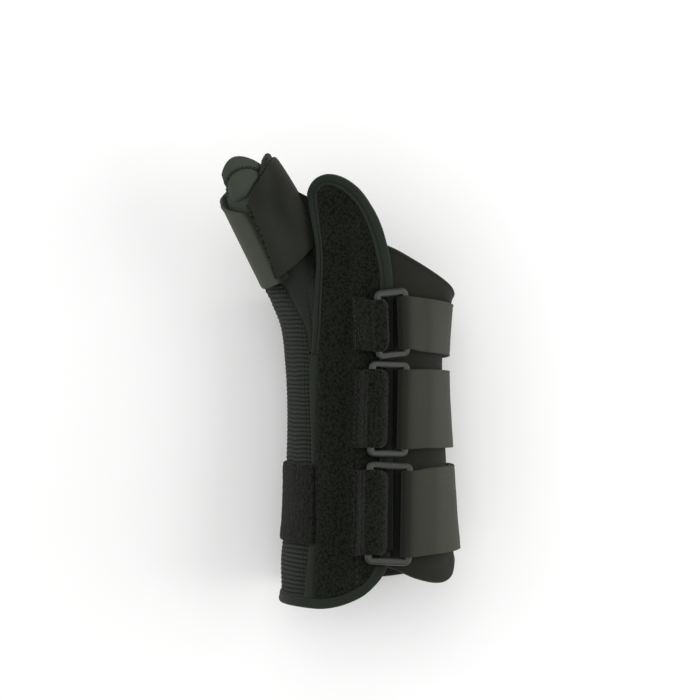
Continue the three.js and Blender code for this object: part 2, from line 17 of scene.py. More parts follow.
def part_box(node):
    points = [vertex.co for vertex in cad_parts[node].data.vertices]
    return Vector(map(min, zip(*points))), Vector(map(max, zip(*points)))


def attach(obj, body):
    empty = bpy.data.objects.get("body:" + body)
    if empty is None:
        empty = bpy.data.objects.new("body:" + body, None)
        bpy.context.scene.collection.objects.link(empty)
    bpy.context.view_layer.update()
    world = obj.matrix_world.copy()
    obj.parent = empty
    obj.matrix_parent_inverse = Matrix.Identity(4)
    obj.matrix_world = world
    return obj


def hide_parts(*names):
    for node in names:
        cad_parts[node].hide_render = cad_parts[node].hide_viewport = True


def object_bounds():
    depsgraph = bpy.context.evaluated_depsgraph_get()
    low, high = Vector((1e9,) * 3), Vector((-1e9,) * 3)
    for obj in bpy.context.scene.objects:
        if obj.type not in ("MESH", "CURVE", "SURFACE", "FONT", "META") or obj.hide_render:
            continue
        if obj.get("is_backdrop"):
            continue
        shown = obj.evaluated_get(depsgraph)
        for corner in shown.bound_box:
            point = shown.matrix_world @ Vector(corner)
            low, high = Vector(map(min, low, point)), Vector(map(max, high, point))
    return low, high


bl_info = {
    "name": "Thumb spica splint",
    "version": (1, 0, 0),
    "blender": (4, 5, 0),
    "location": "3D View > Sidebar > Splint",
    "description": "Dresses a thumb spica splint in plush, ribs, bindings, webbing and stitches",
    "category": "Add Mesh",
}

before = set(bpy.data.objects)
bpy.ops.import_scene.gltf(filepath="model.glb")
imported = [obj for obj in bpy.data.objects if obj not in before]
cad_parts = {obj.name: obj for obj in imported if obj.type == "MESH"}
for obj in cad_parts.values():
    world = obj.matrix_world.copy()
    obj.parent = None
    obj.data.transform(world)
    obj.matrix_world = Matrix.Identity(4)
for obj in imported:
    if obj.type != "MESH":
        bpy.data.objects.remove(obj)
CAD_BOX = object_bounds()
MM = 0.001

# Sizes of the splint, the same as the frame's
SLEEVE_LENGTH = 206
HOLLOW_WIDTH = 68
HOLLOW_HEIGHT = 57
PAD_WALL = 3.5
RIB_WALL = 2.5
FIT_GAP = 0.3
TOP_ROUND = 0.46
LOW_ROUND = 0.3
SEAM_AT = 0.69
BINDING_WIDTH = 5
HEM_BINDING_WIDTH = 4.2
BAND_THICK = 1.4
BAND_INSET = 3
HEM_RISE = 24
LEAF_SHOULDER = 154
LEAF_BLUNT = 1.9
LEAF_PEAK = 0.18
LEAF_HEEL = 6
PAD_LAP = 5
LAP_GAP = 0.5
STRAP_THICK = 1.5
STRAP_GAP = 0.5
RING_BAR = 3.6
RING_THICK = 3
RING_CORNER = 3.4
RING_CLEAR = 0.7
RING_SLACK = 0.8
RING_LEAN = radians(6)
BINDING_PROUD = 0.6
TAB_THICK = 1.3
THUMB_RADIUS = 10.5
THUMB_WALL = 3
CHANNEL_LENGTH = 99
CHANNEL_TIP = 122
CHANNEL_SEAT = 1.5
RIM_RISE = 1.3
RIM_ARCH = 7.1
THUMB_STRAP_WIDTH = 45.5
THUMB_STRAP_LOOSE = 2.4
THUMB_STRAP_SKEW = 12
POCKET_THICK = 1.4
POCKET_TOP = 6.3
POCKET_LENGTH = 12.2
POCKET_SKEW = 5
STRAP_SEWN_AT = 0.33
STRAP_END_AT = 0.61
STRAP_SETTLE = 20
# Two points of the thumb's middle line: shares of the hollow's width, sleeve's length and height
THUMB_RIM = (-0.926, 1.038, 0.965)
THUMB_BASE = (-0.569, 0.798, 0.87)

HOLLOW_FLOOR = STRAP_THICK + STRAP_GAP + PAD_WALL
OVERLAP_STEP = PAD_WALL + LAP_GAP
LEAF_TIP = SLEEVE_LENGTH - BINDING_WIDTH - FIT_GAP
HEM_HEIGHT = HEM_BINDING_WIDTH + FIT_GAP
LAYER_STEP = STRAP_THICK + FIT_GAP
FORK_HEIGHT = CHANNEL_TIP - CHANNEL_SEAT
THUMB_OUTER = THUMB_RADIUS + THUMB_WALL


def clamp(x, low=0.0, high=1.0):
    return min(high, max(low, x))


def mix(a, b, t):
    return a + (b - a) * t


def smooth(x, low, high):
    t = clamp((x - low) / (high - low))
    return t * t * (3 - 2 * t)


def ease(share):
    """A share from 0 to 1 that starts and ends slowly."""
    return (1 - cos(share * pi)) / 2


def arch(share):
    """0 at both ends of a share and 1 halfway."""
    return sin(pi * clamp(share))


def bump(x, middle, half):
    """A round hump, 1 at its middle and 0 half away from it."""
    t = (x - middle) / half
    return sqrt(1 - t * t) if abs(t) < 1 else 0.0


def hill(x, middle, spread):
    """A soft hill, 1 at its middle, that fades over spread and has no end."""
    return exp(-(((x - middle) / spread) ** 2))


def drift(x, y, z):
    """Smooth unevenness, between -1 and 1 and mostly small."""
    return noise.noise(Vector((x, y, z)))


class Table:
    """Columns of shares against a key column, read as smooth curves."""

    def __init__(self, names, rows):
        self.keys = [row[0] for row in rows]
        self.columns = {name: [row[i] for row in rows] for i, name in enumerate(names) if i}

    def slope(self, values, i):
        low, high = max(i - 1, 0), min(i + 1, len(self.keys) - 1)
        return (values[high] - values[low]) / (self.keys[high] - self.keys[low])

    def __call__(self, at, name):
        values = self.columns[name]
        i = clamp(bisect_right(self.keys, at) - 1, 0, len(self.keys) - 2)
        span = self.keys[i + 1] - self.keys[i]
        u = clamp((at - self.keys[i]) / span)
        return (
            (2 * u**3 - 3 * u**2 + 1) * values[i]
            + (u**3 - 2 * u**2 + u) * span * self.slope(values, i)
            + (3 * u**2 - 2 * u**3) * values[i + 1]
            + (u**3 - u**2) * span * self.slope(values, i + 1)
        )


sections = Table(
    ("along", "width", "height", "shift"),
    [
        (0.0, 1.138, 1.19, -0.01),
        (0.1, 1.153, 1.17, -0.009),
        (0.2, 1.102, 1.1, -0.005),
        (0.34, 1.069, 1.03, -0.014),
        (0.48, 1.043, 0.99, -0.026),
        (0.57, 1.053, 1.0, -0.035),
        (0.65, 1.093, 1.05, -0.046),
        (0.71, 1.185, 1.11, -0.071),
        (0.75, 1.27, 1.14, -0.075),
        (0.83, 1.199, 1.15, -0.048),
        (1.0, 1.13, 1.12, -0.015),
    ],
)
panel_edges = Table(
    ("along", "left", "right", "palm", "binding"),
    [
        (0.0, -0.377, 0.086, -0.461, 0.64),
        (0.15, -0.368, 0.082, -0.416, 0.64),
        (0.33, -0.362, 0.089, -0.392, 0.64),
        (0.52, -0.332, 0.105, -0.395, 0.64),
        (0.59, -0.316, 0.113, -0.387, 0.64),
        (0.65, -0.292, 0.122, -0.408, 0.62),
        (0.74, -0.249, 0.151, -0.52, 0.55),
        (0.83, -0.277, 0.113, -0.616, 0.48),
        (0.92, -0.326, 0.099, -0.681, 0.75),
        (1.0, -0.355, 0.09, -0.7, 1.0),
    ],
)
pad_edges = Table(
    ("round", "top", "foot"),
    [
        (0.0, 0.845, 0.104),
        (0.06, 0.835, 0.096),
        (0.14, 0.803, 0.068),
        (0.22, 0.77, 0.054),
        (0.28, 0.745, 0.062),
        (0.33, 0.73, 0.092),
        (0.42, 0.722, 0.1),
        (0.6, 0.725, 0.045),
        (1.0, 0.738, 0.022),
    ],
)
channel_sides = Table(
    ("up", "lift", "palm", "back"),
    [
        (0.0, 0.0, 95, 88),
        (0.34, 0.0, 95, 88),
        (0.38, 0.25, 95, 86),
        (0.46, 0.95, 95, 84),
        (0.52, 1.0, 95, 82),
        (0.72, 1.0, 93, 76),
        (0.82, 1.0, 84, 68),
        (0.88, 1.0, 66, 58),
        (0.95, 1.0, 49, 50),
        (1.0, 1.0, 44, 46),
    ],
)
thumb_strap_run = Table(
    ("turn", "top", "foot", "layer"),
    [
        (8, 0.637, 1.345, 0),
        (45, 0.484, 1.36, 0),
        (90, 0.341, 1.345, 0),
        (135, 0.264, 1.27, 0),
        (180, 0.209, 1.209, 0),
        (225, 0.165, 1.165, 0),
        (270, 0.154, 1.15, 0.5),
        (310, 0.2, 1.19, 1),
        (345, 0.325, 1.25, 1),
        (385, 0.5, 1.305, 1.1),
    ],
)
# The three closures: where a ring's middle is across, the side of the wrist's ring on which it
# lies and its distance from it, the strap's drop and width, the ring's width, the tab's length and
# loose fold beyond the bar, and the ring's twist in degrees.
Closure = namedtuple("Closure", "name across side gap drop strap ring tab fold twist")
CLOSURES = (
    Closure("hand", 0.182, 1, 0.67, 9, 25.4, 17.2, 9, 5.4, 4),
    Closure("wrist", 0.143, 0, 0, 4, 37.6, 20.2, 6.6, 8.2, 3),
    Closure("forearm", 0.13, -1, 1.77, 0, 40.5, 22.8, 6.2, 9.2, 1.5),
)
WRIST_RING_AT = 0.46
PALM_TOP = pad_edges(1, "top") * SLEEVE_LENGTH
Section = namedtuple("Section", "width height centre top low top_flat side low_flat girth")


@lru_cache(maxsize=None)
def section(y):
    """Size, centre, top and low corner radii, flats and girth of the hollow at a height y."""
    along = y / SLEEVE_LENGTH
    width = HOLLOW_WIDTH * sections(along, "width")
    height = HOLLOW_HEIGHT * sections(along, "height")
    centre = HOLLOW_WIDTH * sections(along, "shift")
    fit = min(1, height / (width * (TOP_ROUND + LOW_ROUND)))
    top = width * TOP_ROUND * fit
    low = width * LOW_ROUND * fit
    top_flat, side, low_flat = width / 2 - top, height - top - low, width / 2 - low
    girth = 2 * (top_flat + side + low_flat) + pi * (top + low)
    return Section(width, height, centre, top, low, top_flat, side, low_flat, girth)


def section_at(y):
    return section(round(y, 2))


def girth_at(y):
    return section_at(y).girth


def on_sleeve(arc, y, out):
    """A point arc round the hollow from its ridge, y above the hem and raised by out."""
    width, height, centre, top, low, top_flat, side, low_flat, girth = section_at(y)
    wrapped = arc - girth * round(arc / girth)
    hand = -1 if wrapped < 0 else 1
    highest = HOLLOW_FLOOR + height
    top_arc, low_arc = top * pi / 2, low * pi / 2
    rest = abs(wrapped)
    over_top = rest - top_flat
    down_side = over_top - top_arc
    round_foot = down_side - side
    underneath = round_foot - low_arc
    x, z = rest, highest + out
    if underneath > 0:
        x, z = low_flat - underneath, HOLLOW_FLOOR - out
    elif round_foot > 0:
        x = low_flat + (low + out) * cos(round_foot / low)
        z = HOLLOW_FLOOR + low - (low + out) * sin(round_foot / low)
    elif down_side > 0:
        x, z = width / 2 + out, highest - top - down_side
    elif over_top > 0:
        x = top_flat + (top + out) * sin(over_top / top)
        z = highest - top + (top + out) * cos(over_top / top)
    return Vector((centre + hand * x, y, z))


def arc_at(y, share):
    """The arc of a place seen from above, share being its distance from the ridge."""
    here = section_at(y)
    x = abs(share) * HOLLOW_WIDTH
    if x > here.top_flat:
        turn = asin(clamp((x - here.top_flat) / (here.top + PAD_WALL)))
        x = here.top_flat + here.top * turn
    return copysign(x, share)


def edge_at(y, side):
    return arc_at(y, panel_edges(y / SLEEVE_LENGTH, side))


def binding_width(y):
    """The width of the binding up the panel's thumb side."""
    return BINDING_WIDTH * panel_edges(y / SLEEVE_LENGTH, "binding")


STRIP_STEPS = 14  # lengthwise steps of the frame's own strip


def shift_to_frame():
    """How far the frame has moved the splint, found from the narrow strip's corners."""
    low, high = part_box("edge_strip")
    corners = []
    for i in range(STRIP_STEPS + 1):
        y = mix(HEM_HEIGHT, FORK_HEIGHT, i / STRIP_STEPS)
        for out in (0, RIB_WALL):
            corners.append(on_sleeve(edge_at(y, "palm") + FIT_GAP, y, out))
            corners.append(on_sleeve(edge_at(y, "left") - FIT_GAP, y, out))
    leftmost, lowest = min(p.x for p in corners), min(p.y for p in corners)
    return Vector((low[0] / MM - leftmost, low[1] / MM - lowest, 0))


SHIFT = shift_to_frame()


# Making meshes


def settings():
    return bpy.context.scene.splint


def grid(across, along):
    """A flat grid whose corners are shares from 0 to 1."""
    bm = bmesh.new()
    bmesh.ops.create_grid(bm, x_segments=across, y_segments=along, size=0.5)
    for v in bm.verts:
        v.co = (clamp(v.co.x + 0.5), clamp(v.co.y + 0.5), 0)
    return bm


def slab(name, across, along, size, place, rounding, cuts=2, mark=None):
    """A closed, soft-edged slab bent by place(a, b, c), with size its flat size in mm.

    Its edges are rounded by rounding, in mm, over cuts in its thickness. Where mark(a, b, c) is
    given, its values are kept as the attribute that finishes shade by.
    """
    bm = grid(across, along)
    marks = bm.verts.layers.float.new("Shade")
    layer = bm.loops.layers.uv.new("Cloth")
    for face in bm.faces:
        for loop in face.loops:
            loop[layer].uv = (loop.vert.co.x * size[0] * MM, loop.vert.co.y * size[1] * MM)
    grown = bmesh.ops.extrude_face_region(bm, geom=bm.faces[:])
    for item in grown["geom"]:
        if isinstance(item, bmesh.types.BMVert):
            item.co.z = 1
    walls = [e for e in bm.edges if abs(e.verts[0].co.z - e.verts[1].co.z) > 0.5]
    bmesh.ops.subdivide_edges(bm, edges=walls, cuts=cuts, use_grid_fill=True)
    inset = (rounding / size[0], rounding / size[1])
    for v in bm.verts:
        a, b, c = v.co
        v[marks] = mark(a, b, c) if mark else 0.0
        if c < 0.01 or c > 0.99:
            a = clamp(a, inset[0], 1 - inset[0])
            b = clamp(b, inset[1], 1 - inset[1])
        v.co = (place(a, b, c) + SHIFT) * MM
    bmesh.ops.recalc_face_normals(bm, faces=bm.faces[:])
    return finished(name, bm)


def finished(name, bm):
    """A smooth piece that rides on the frame."""
    mesh = bpy.data.meshes.new(name)
    bm.to_mesh(mesh)
    bm.free()
    mesh.shade_smooth()
    piece = bpy.data.objects.new(name, mesh)
    bpy.context.scene.collection.objects.link(piece)
    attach(piece, "root")
    return piece


def softened(piece):
    modifier = piece.modifiers.new("Softened", "SUBSURF")
    modifier.levels = 1
    modifier.render_levels = 1
    return piece


def dressed(piece, finish, node=None):
    """Gives a piece its finish, and hides the node of the frame that it replaces."""
    piece.data.materials.append(cloth(finish))
    if node:
        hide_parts(node)


def nap(x, y, seed, height):
    """Small tufts of looped plush, in mm."""
    return height * (0.7 * drift(x * 0.9, y * 0.9, seed) + 0.5 * drift(x * 2.1, y * 2.1, seed + 7))


def stitches(name, row, places, pitch, size, finish, crosswise=False):
    """Sewn stitches along a row, or across it, each a small rounded bead.

    row(place, lift) is the point of a place raised by lift, and size a stitch's length and
    thickness.
    """
    length, thick = size
    points = [row(place, 0) for place in places]
    normals = [row(place, 1) - point for place, point in zip(places, points)]
    bm = bmesh.new()
    travelled, due = 0.0, pitch / 2
    for (p, q), up in zip(zip(points, points[1:]), normals):
        step = q - p
        span = step.length
        while due <= travelled + span:
            spot = p + step * ((due - travelled) / span)
            along = step.normalized()
            out = (up - along * up.dot(along)).normalized()
            if crosswise:
                along = out.cross(along)
            turn = Matrix((along, out.cross(along), out)).transposed().to_4x4()
            scale = Matrix.Diagonal((length / thick, 1, 0.8, 1))
            move = Matrix.Translation((spot + SHIFT) * MM)
            bmesh.ops.create_uvsphere(
                bm, u_segments=6, v_segments=4, radius=thick / 2 * MM, matrix=move @ turn @ scale
            )
            due += pitch
        travelled += span
    dressed(finished(name, bm), finish)


# Materials


class Value:
    """A socket whose sums add Math nodes."""

    def __init__(self, tree, socket):
        self.tree, self.socket = tree, socket

    def maths(self, operation, other, swapped=False):
        first, second = (other, self) if swapped else (self, other)
        return self.tree.node("ShaderNodeMath", {"operation": operation}, {0: first, 1: second})

    def __add__(self, other):
        return self.maths("ADD", other)

    def __mul__(self, other):
        return self.maths("MULTIPLY", other)

    def __sub__(self, other):
        return self.maths("SUBTRACT", other)

    def __rsub__(self, other):
        return self.maths("SUBTRACT", other, True)


class Finish:
    """A material under construction."""

    def __init__(self, name):
        self.material = bpy.data.materials.new(name)
        self.material.use_nodes = True
        self.nodes = self.material.node_tree.nodes
        self.links = self.material.node_tree.links
        self.shader = self.nodes["Principled BSDF"]

    @cached_property
    def here(self):
        """A place in the piece's own metres."""
        return self.node("ShaderNodeTexCoord", output=3)

    @cached_property
    def flat(self):
        """The same place on the cloth laid flat."""
        return self.node("ShaderNodeUVMap", {"uv_map": "Cloth"})

    def node(self, kind, words=None, inputs=None, output=0):
        made = self.nodes.new(kind)
        for word, value in (words or {}).items():
            setattr(made, word, value)
        for key, value in (inputs or {}).items():
            self.feed(made.inputs[key], value)
        return Value(self, made.outputs[output])

    def feed(self, socket, value):
        if isinstance(value, Value):
            self.links.new(value.socket, socket)
        else:
            socket.default_value = value

    def ramp(self, value, low, high):
        """A colour that goes from low to high as value goes from 0 to 1."""
        low, high = (end if isinstance(end, Value) else (*end, 1) for end in (low, high))
        return self.node("ShaderNodeMix", {"data_type": "RGBA"}, {0: value, 6: low, 7: high}, output=2)

    def darkened(self, colour_link, colour):
        """A colour that goes to a fifth of its base where the piece is marked."""
        return self.ramp(self.mark(), colour_link, shade(colour, 0.2))

    def noise(self, scale, detail=2, rough=0.5):
        words = {"Vector": self.here, "Scale": scale, "Detail": detail, "Roughness": rough}
        return self.node("ShaderNodeTexNoise", None, words)

    def cells(self, scale):
        """How far a place is from the middle of its tuft or hook."""
        words = {"Vector": self.here, "Scale": scale}
        return self.node("ShaderNodeTexVoronoi", {"feature": "F1"}, words)

    def relief(self, height, distance, strength=1.0, under=None):
        words = {"Height": height, "Distance": distance, "Strength": strength}
        if under is not None:
            words["Normal"] = under
        return self.node("ShaderNodeBump", None, words)

    def mark(self):
        return self.node("ShaderNodeAttribute", {"attribute_name": "Shade"}, output=2)

    def wave(self, direction, pitch):
        """Ridges across a direction, pitch metres apart, from 0 to 1."""
        words = {"wave_type": "BANDS", "bands_direction": direction, "wave_profile": "SIN"}
        scale = pi / (10 * pitch)
        return self.node("ShaderNodeTexWave", words, {"Vector": self.flat, "Scale": scale})

    def finish(self, colour, rough, normal=None, fixed=None):
        self.feed(self.shader.inputs["Base Color"], colour)
        self.feed(self.shader.inputs["Roughness"], rough)
        if normal is not None:
            self.feed(self.shader.inputs["Normal"], normal)
        for word, value in (fixed or {}).items():
            self.shader.inputs[word].default_value = value
        return self.material


CLOTH_SHINE = {"Specular IOR Level": 0.12, "Sheen Weight": 0.06, "Sheen Roughness": 0.5}
# Metres between two threads, cords, picks and knit stitches
WEAVE_PITCH = 0.0005
CORD_PITCH = 0.0009
PICK_PITCH = 0.0006
KNIT_PITCH = 0.0008


def shade(colour, amount):
    return tuple(clamp(part * amount) for part in colour)


def make_plush(name, colour):
    """Looped plush: tight tufts that catch a little light on their tips, and a painted highlight where
    it is marked.
    """
    f = Finish(name)
    tufts = f.cells(900.0)
    fuzz = f.noise(2600.0, 3, 0.6)
    worn = f.noise(45.0)
    # The mark adds a painted highlight: the fold edges of the tabs.
    tint = (1 - tufts * 1.4) * 0.8 + fuzz * 0.5 + worn * 0.3 - 0.25 + f.mark() * 0.5
    colour_link = f.ramp(tint, shade(colour, 0.1), shade(colour, 2.5))
    normal = f.relief(tufts * -0.8 + fuzz * 0.7, 0.0006)
    return f.finish(colour_link, 0.95, normal, CLOTH_SHINE)


def make_smooth(name, colour):
    """Smooth cloth with a fine plain weave and faint wear, with painted shade where it is marked."""
    f = Finish(name)
    warp = f.wave("X", WEAVE_PITCH)
    weft = f.wave("Y", WEAVE_PITCH)
    worn = f.noise(60.0, 3)
    fuzz = f.noise(1800.0)
    tint = warp * weft * 0.35 + worn * 0.5 + fuzz * 0.25
    colour_link = f.darkened(f.ramp(tint, shade(colour, 0.75), shade(colour, 1.25)), colour)
    crease = f.relief(worn, 0.0012, 0.35)
    normal = f.relief(warp * weft + fuzz * 0.6, 0.00008, 1.0, crease)
    return f.finish(colour_link, 0.86, normal, CLOTH_SHINE)


def make_webbing(name, colour):
    """Elastic webbing: fine cords along its length under raised, napped loops, darker where marked:
    painted shade at the straps' folds and under the thumb strap's end, and a darker end flap.
    """
    f = Finish(name)
    cords = f.wave("X", CORD_PITCH)
    picks = f.wave("Y", PICK_PITCH)
    fuzz = f.noise(1500.0, 3, 0.65)
    cloud = f.noise(38.0)
    tint = cords * 0.12 + picks * 0.08 + fuzz * 0.45 + cloud * 0.4
    colour_link = f.darkened(f.ramp(tint, shade(colour, 0.72), shade(colour, 1.28)), colour)
    soft = f.relief(cloud, 0.0015, 0.3)
    normal = f.relief(cords * 0.5 + picks * 0.3 + fuzz, 0.00012, 1.0, soft)
    return f.finish(colour_link, 0.88, normal, CLOTH_SHINE)


def make_ribs(name, colour):
    """Ribbed elastic: painted light on the rib crowns, painted shade between them, and knit stitches
    across them.
    """
    f = Finish(name)
    knit = f.wave("X", KNIT_PITCH)
    fuzz = f.noise(2000.0)
    tint = f.mark() + knit * 0.12 + fuzz * 0.3 - 0.35
    colour_link = f.ramp(tint, shade(colour, 0.05), shade(colour, 2.4))
    normal = f.relief(knit * 0.7 + fuzz * 0.5, 0.00015)
    return f.finish(colour_link, 0.9, normal, CLOTH_SHINE)


def make_plastic(name, colour):
    """Moulded plastic with a fine satin grain and scuffs."""
    f = Finish(name)
    grain = f.noise(2500.0)
    scuffs = f.noise(220.0, 4, 0.7)
    colour_link = f.ramp(scuffs, shade(colour, 0.85), shade(colour, 1.2))
    normal = f.relief(grain, 0.00004, 0.6)
    return f.finish(colour_link, scuffs * 0.2 + 0.27, normal, {"Specular IOR Level": 0.4})


def make_hook(name, colour):
    """Hook tape: rows of tiny stiff hooks."""
    f = Finish(name)
    hooks = f.cells(700.0)
    fuzz = f.noise(2400.0, 3, 0.7)
    colour_link = f.ramp(1 - hooks * 1.3, shade(colour, 0.3), shade(colour, 2.2))
    return f.finish(colour_link, 0.6, f.relief(hooks * -1.0 + fuzz * 0.4, 0.0006), CLOTH_SHINE)


def make_paper(name, colour):
    """The plain pale floor."""
    f = Finish(name)
    mottle = f.noise(30.0)
    return f.finish(f.ramp(mottle, shade(colour, 0.99), colour), 0.9)


# How each finish is made, and the property that holds its colour
FINISHES = {
    "plush": (make_plush, "plush_colour"),
    "binding": (make_smooth, "binding_colour"),
    "ribs": (make_ribs, "rib_colour"),
    "pad": (make_smooth, "pad_colour"),
    "channel": (make_smooth, "channel_colour"),
    "thumb_strap": (make_webbing, "thumb_strap_colour"),
    "strap": (make_webbing, "strap_colour"),
    "loop": (make_plastic, "loop_colour"),
    "thread": (make_smooth, "thread_colour"),
    "hook": (make_hook, "hook_colour"),
    "gusset": (make_smooth, "gusset_colour"),
    "paper": (make_paper, "floor_colour"),
}


def cloth(name):
    """The named finish, made once."""
    title = f"splint_{name}"
    if title not in bpy.data.materials:
        make, colour = FINISHES[name]
        make(title, tuple(getattr(settings(), colour)))
    return bpy.data.materials[title]


# The plush thumb-side panel and its bindings


def panel_foot(a):
    return HEM_HEIGHT + HEM_RISE * (1 - sqrt(max(0, 1 - a * a)))


def panel_top(a):
    if a < LEAF_PEAK:
        return LEAF_TIP - LEAF_HEEL * (1 - sqrt(1 - (1 - a / LEAF_PEAK) ** 2))
    out = (a - LEAF_PEAK) / (1 - LEAF_PEAK)
    rise = max(0, 1 - out**LEAF_BLUNT) ** (1 / LEAF_BLUNT)
    return mix(LEAF_SHOULDER, LEAF_TIP, rise)


def panel_arc(a, y):
    return mix(edge_at(y, "left"), edge_at(y, "right"), a)


def panel_raise(a):
    """The panel climbs over the back pad."""
    return OVERLAP_STEP * smooth(a, 0.45, 0.8)


def panel_place(a, y):
    return (panel_arc(a, y), y, panel_raise(a))


PIPING_LAP = 0.6  # how far the plush reaches under the piping
PANEL_SPAN = 29  # the panel's mean width
PANEL_SINK = 1.1  # how far the plush sinks towards its edges
PANEL_SINK_WIDTH = 1.4
GROOVE_DEPTH = 0.8
PANEL_SEAM = 0.668  # the sewn line down the lower half of the panel
SEAM_WIDTH = 0.7 / 30
PANEL_SEAM_FOOT = 12
PANEL_SEAM_TOP = 76
SEAM_SUNK = 0.55  # how far its stitches lie in the plush
PANEL_FOLD = 31  # the crease that runs on from the band's foot
FOLD_WIDTH = 0.8


def panel_groove(a, y):
    line = hill(a, PANEL_SEAM, SEAM_WIDTH) * smooth(y, PANEL_SEAM_TOP, PANEL_SEAM_TOP - 4)
    fold = hill(y, PANEL_FOLD, FOLD_WIDTH) * smooth(a, PANEL_SEAM, PANEL_SEAM - 0.1)
    return line + 0.7 * fold


def plush_panel():
    height = settings().nap_height / MM

    def place(column, b, c):
        a = mix(column, ease(column), 0.75)
        foot, top = panel_foot(a), panel_top(a)
        y = mix(foot, top, b)
        edge = min(a * PANEL_SPAN, (1 - a) * PANEL_SPAN, y - foot, top - y)
        y = mix(foot - PIPING_LAP, top + PIPING_LAP, b)
        a += PIPING_LAP / PANEL_SPAN * (2 * column - 1)
        x = panel_arc(a, y)
        crown = PAD_WALL - PANEL_SINK * exp(-max(edge, 0) / PANEL_SINK_WIDTH)
        crown -= GROOVE_DEPTH * panel_groove(a, y)
        crown += 0.25 * drift(x * 0.06, y * 0.04, 3)
        if c > 0.99:
            crown += nap(x, y, 0, height) * smooth(edge, 0, 1.5)
        return on_sleeve(x, y, panel_raise(a) + crown * c)

    piece = slab("plush_thumb_side_panel", 46, 250, (30, 196), place, 0.5)
    dressed(piece, "plush", "thumb_side_panel")

    def seam(y, lift):
        out = panel_raise(PANEL_SEAM) + PAD_WALL - SEAM_SUNK
        return on_sleeve(panel_arc(PANEL_SEAM, y), y, out + lift)

    heights = range(PANEL_SEAM_FOOT, PANEL_SEAM_TOP)
    pitch = settings().stitch_pitch / MM
    size = (0.73 * pitch, 0.5)
    stitches("panel_seam_stitches", seam, heights, pitch, size, "thread")


def binding_along(name, outline, side, width, profile, columns, mark=None):
    """A rolled strip beside an outline of (arc, y, raise); profile(a) is its raise over the wall."""
    last = len(outline) - 1
    steps = [Vector((q[0] - p[0], q[1] - p[1])) for p, q in zip(outline, outline[1:])]
    course = [step.normalized() for step in steps]
    length = sum(step.length for step in steps)

    def place(a, b, c):
        i = round(b * last)
        arc, y, out = outline[i]
        t = (course[max(i - 1, 0)] + course[min(i, last - 1)]) / 2
        beside = side * mix(-FIT_GAP, FIT_GAP + width(i, y), a) / t.length_squared
        top = PAD_WALL + profile(a)
        return on_sleeve(arc + t.y * beside, y - t.x * beside, out + mix(0.1, top, c))

    return slab(name, columns, last, (BINDING_WIDTH, length), place, 0.35, mark=mark)


def shares(count, after=0):
    """Even shares of one, from after steps on."""
    return [i / count for i in range(after, count + after)]


def leaf_outline():
    """Places up the leaf, over its top and down the free edge, and how many go up."""
    side = [panel_place(0, mix(FORK_HEIGHT, panel_top(0), share)) for share in shares(63)]
    crown = [panel_place(ease(share), panel_top(ease(share))) for share in (*shares(98), 1)]
    down = [panel_place(1, mix(LEAF_SHOULDER, panel_foot(1), share)) for share in shares(84, 1)]
    return side + crown + down, len(side)


def hem_outline():
    """Places along the hem, from the palm's seam to the panel's free edge."""
    palm_end = girth_at(HEM_HEIGHT) * (SEAM_AT - 1)
    left = edge_at(HEM_HEIGHT, "left")
    hem = [(mix(palm_end, left, share), HEM_HEIGHT, 0) for share in shares(54)]
    hem += [panel_place(ease(share), panel_foot(ease(share))) for share in (*shares(84), 1)]
    arc, y, out = hem[-1]
    hem[-1] = (arc, y - FIT_GAP, out)
    return hem


def piped_profile(a):
    """Piping by the plush, a groove, then the outer roll."""
    return 1.0 * bump(a, 0.14, 0.17) + 1.4 * bump(a, 0.67, 0.36) - 0.8


def rolled_profile(a):
    """A narrow roll by the cloth, a groove, then the wide one."""
    return 0.8 * bump(a, 0.17, 0.18) + 1.3 * bump(a, 0.67, 0.36) - 0.8


def make_bindings():
    leaf, side_count = leaf_outline()

    def leaf_width(i, y):
        return BINDING_WIDTH if i > side_count else binding_width(y)

    def strap_shade_on_binding(a, b, c):
        """Painted shade: darker where the straps pass over the free edge and shade it."""
        i = round(b * (len(leaf) - 1))
        if i <= side_count:
            return 0.0
        past = min(abs(leaf[i][1] - ring_height(each)) - each.strap / 2 for each in CLOSURES)
        return 0.7 * smooth(past, 1, -1)

    piece = binding_along("rolled_panel_binding", leaf, -1, leaf_width, piped_profile, 16, strap_shade_on_binding)
    dressed(piece, "binding", "panel_binding")

    def hem_width(i, y):
        return HEM_BINDING_WIDTH

    piece = binding_along("rolled_hem_binding", hem_outline(), 1, hem_width, rolled_profile, 12)
    dressed(piece, "binding", "hem_binding")


# The palm side


PALM_REACH = 7  # how far the ribs run on under the thumb strap
PALM_FLARE = 1.8  # how far they stand out there
LADDER_PITCH = 1.9  # between the rungs of the ribs' knitted edge
SEAM_LAP = 0.5  # how far cloths reach under each other at a seam


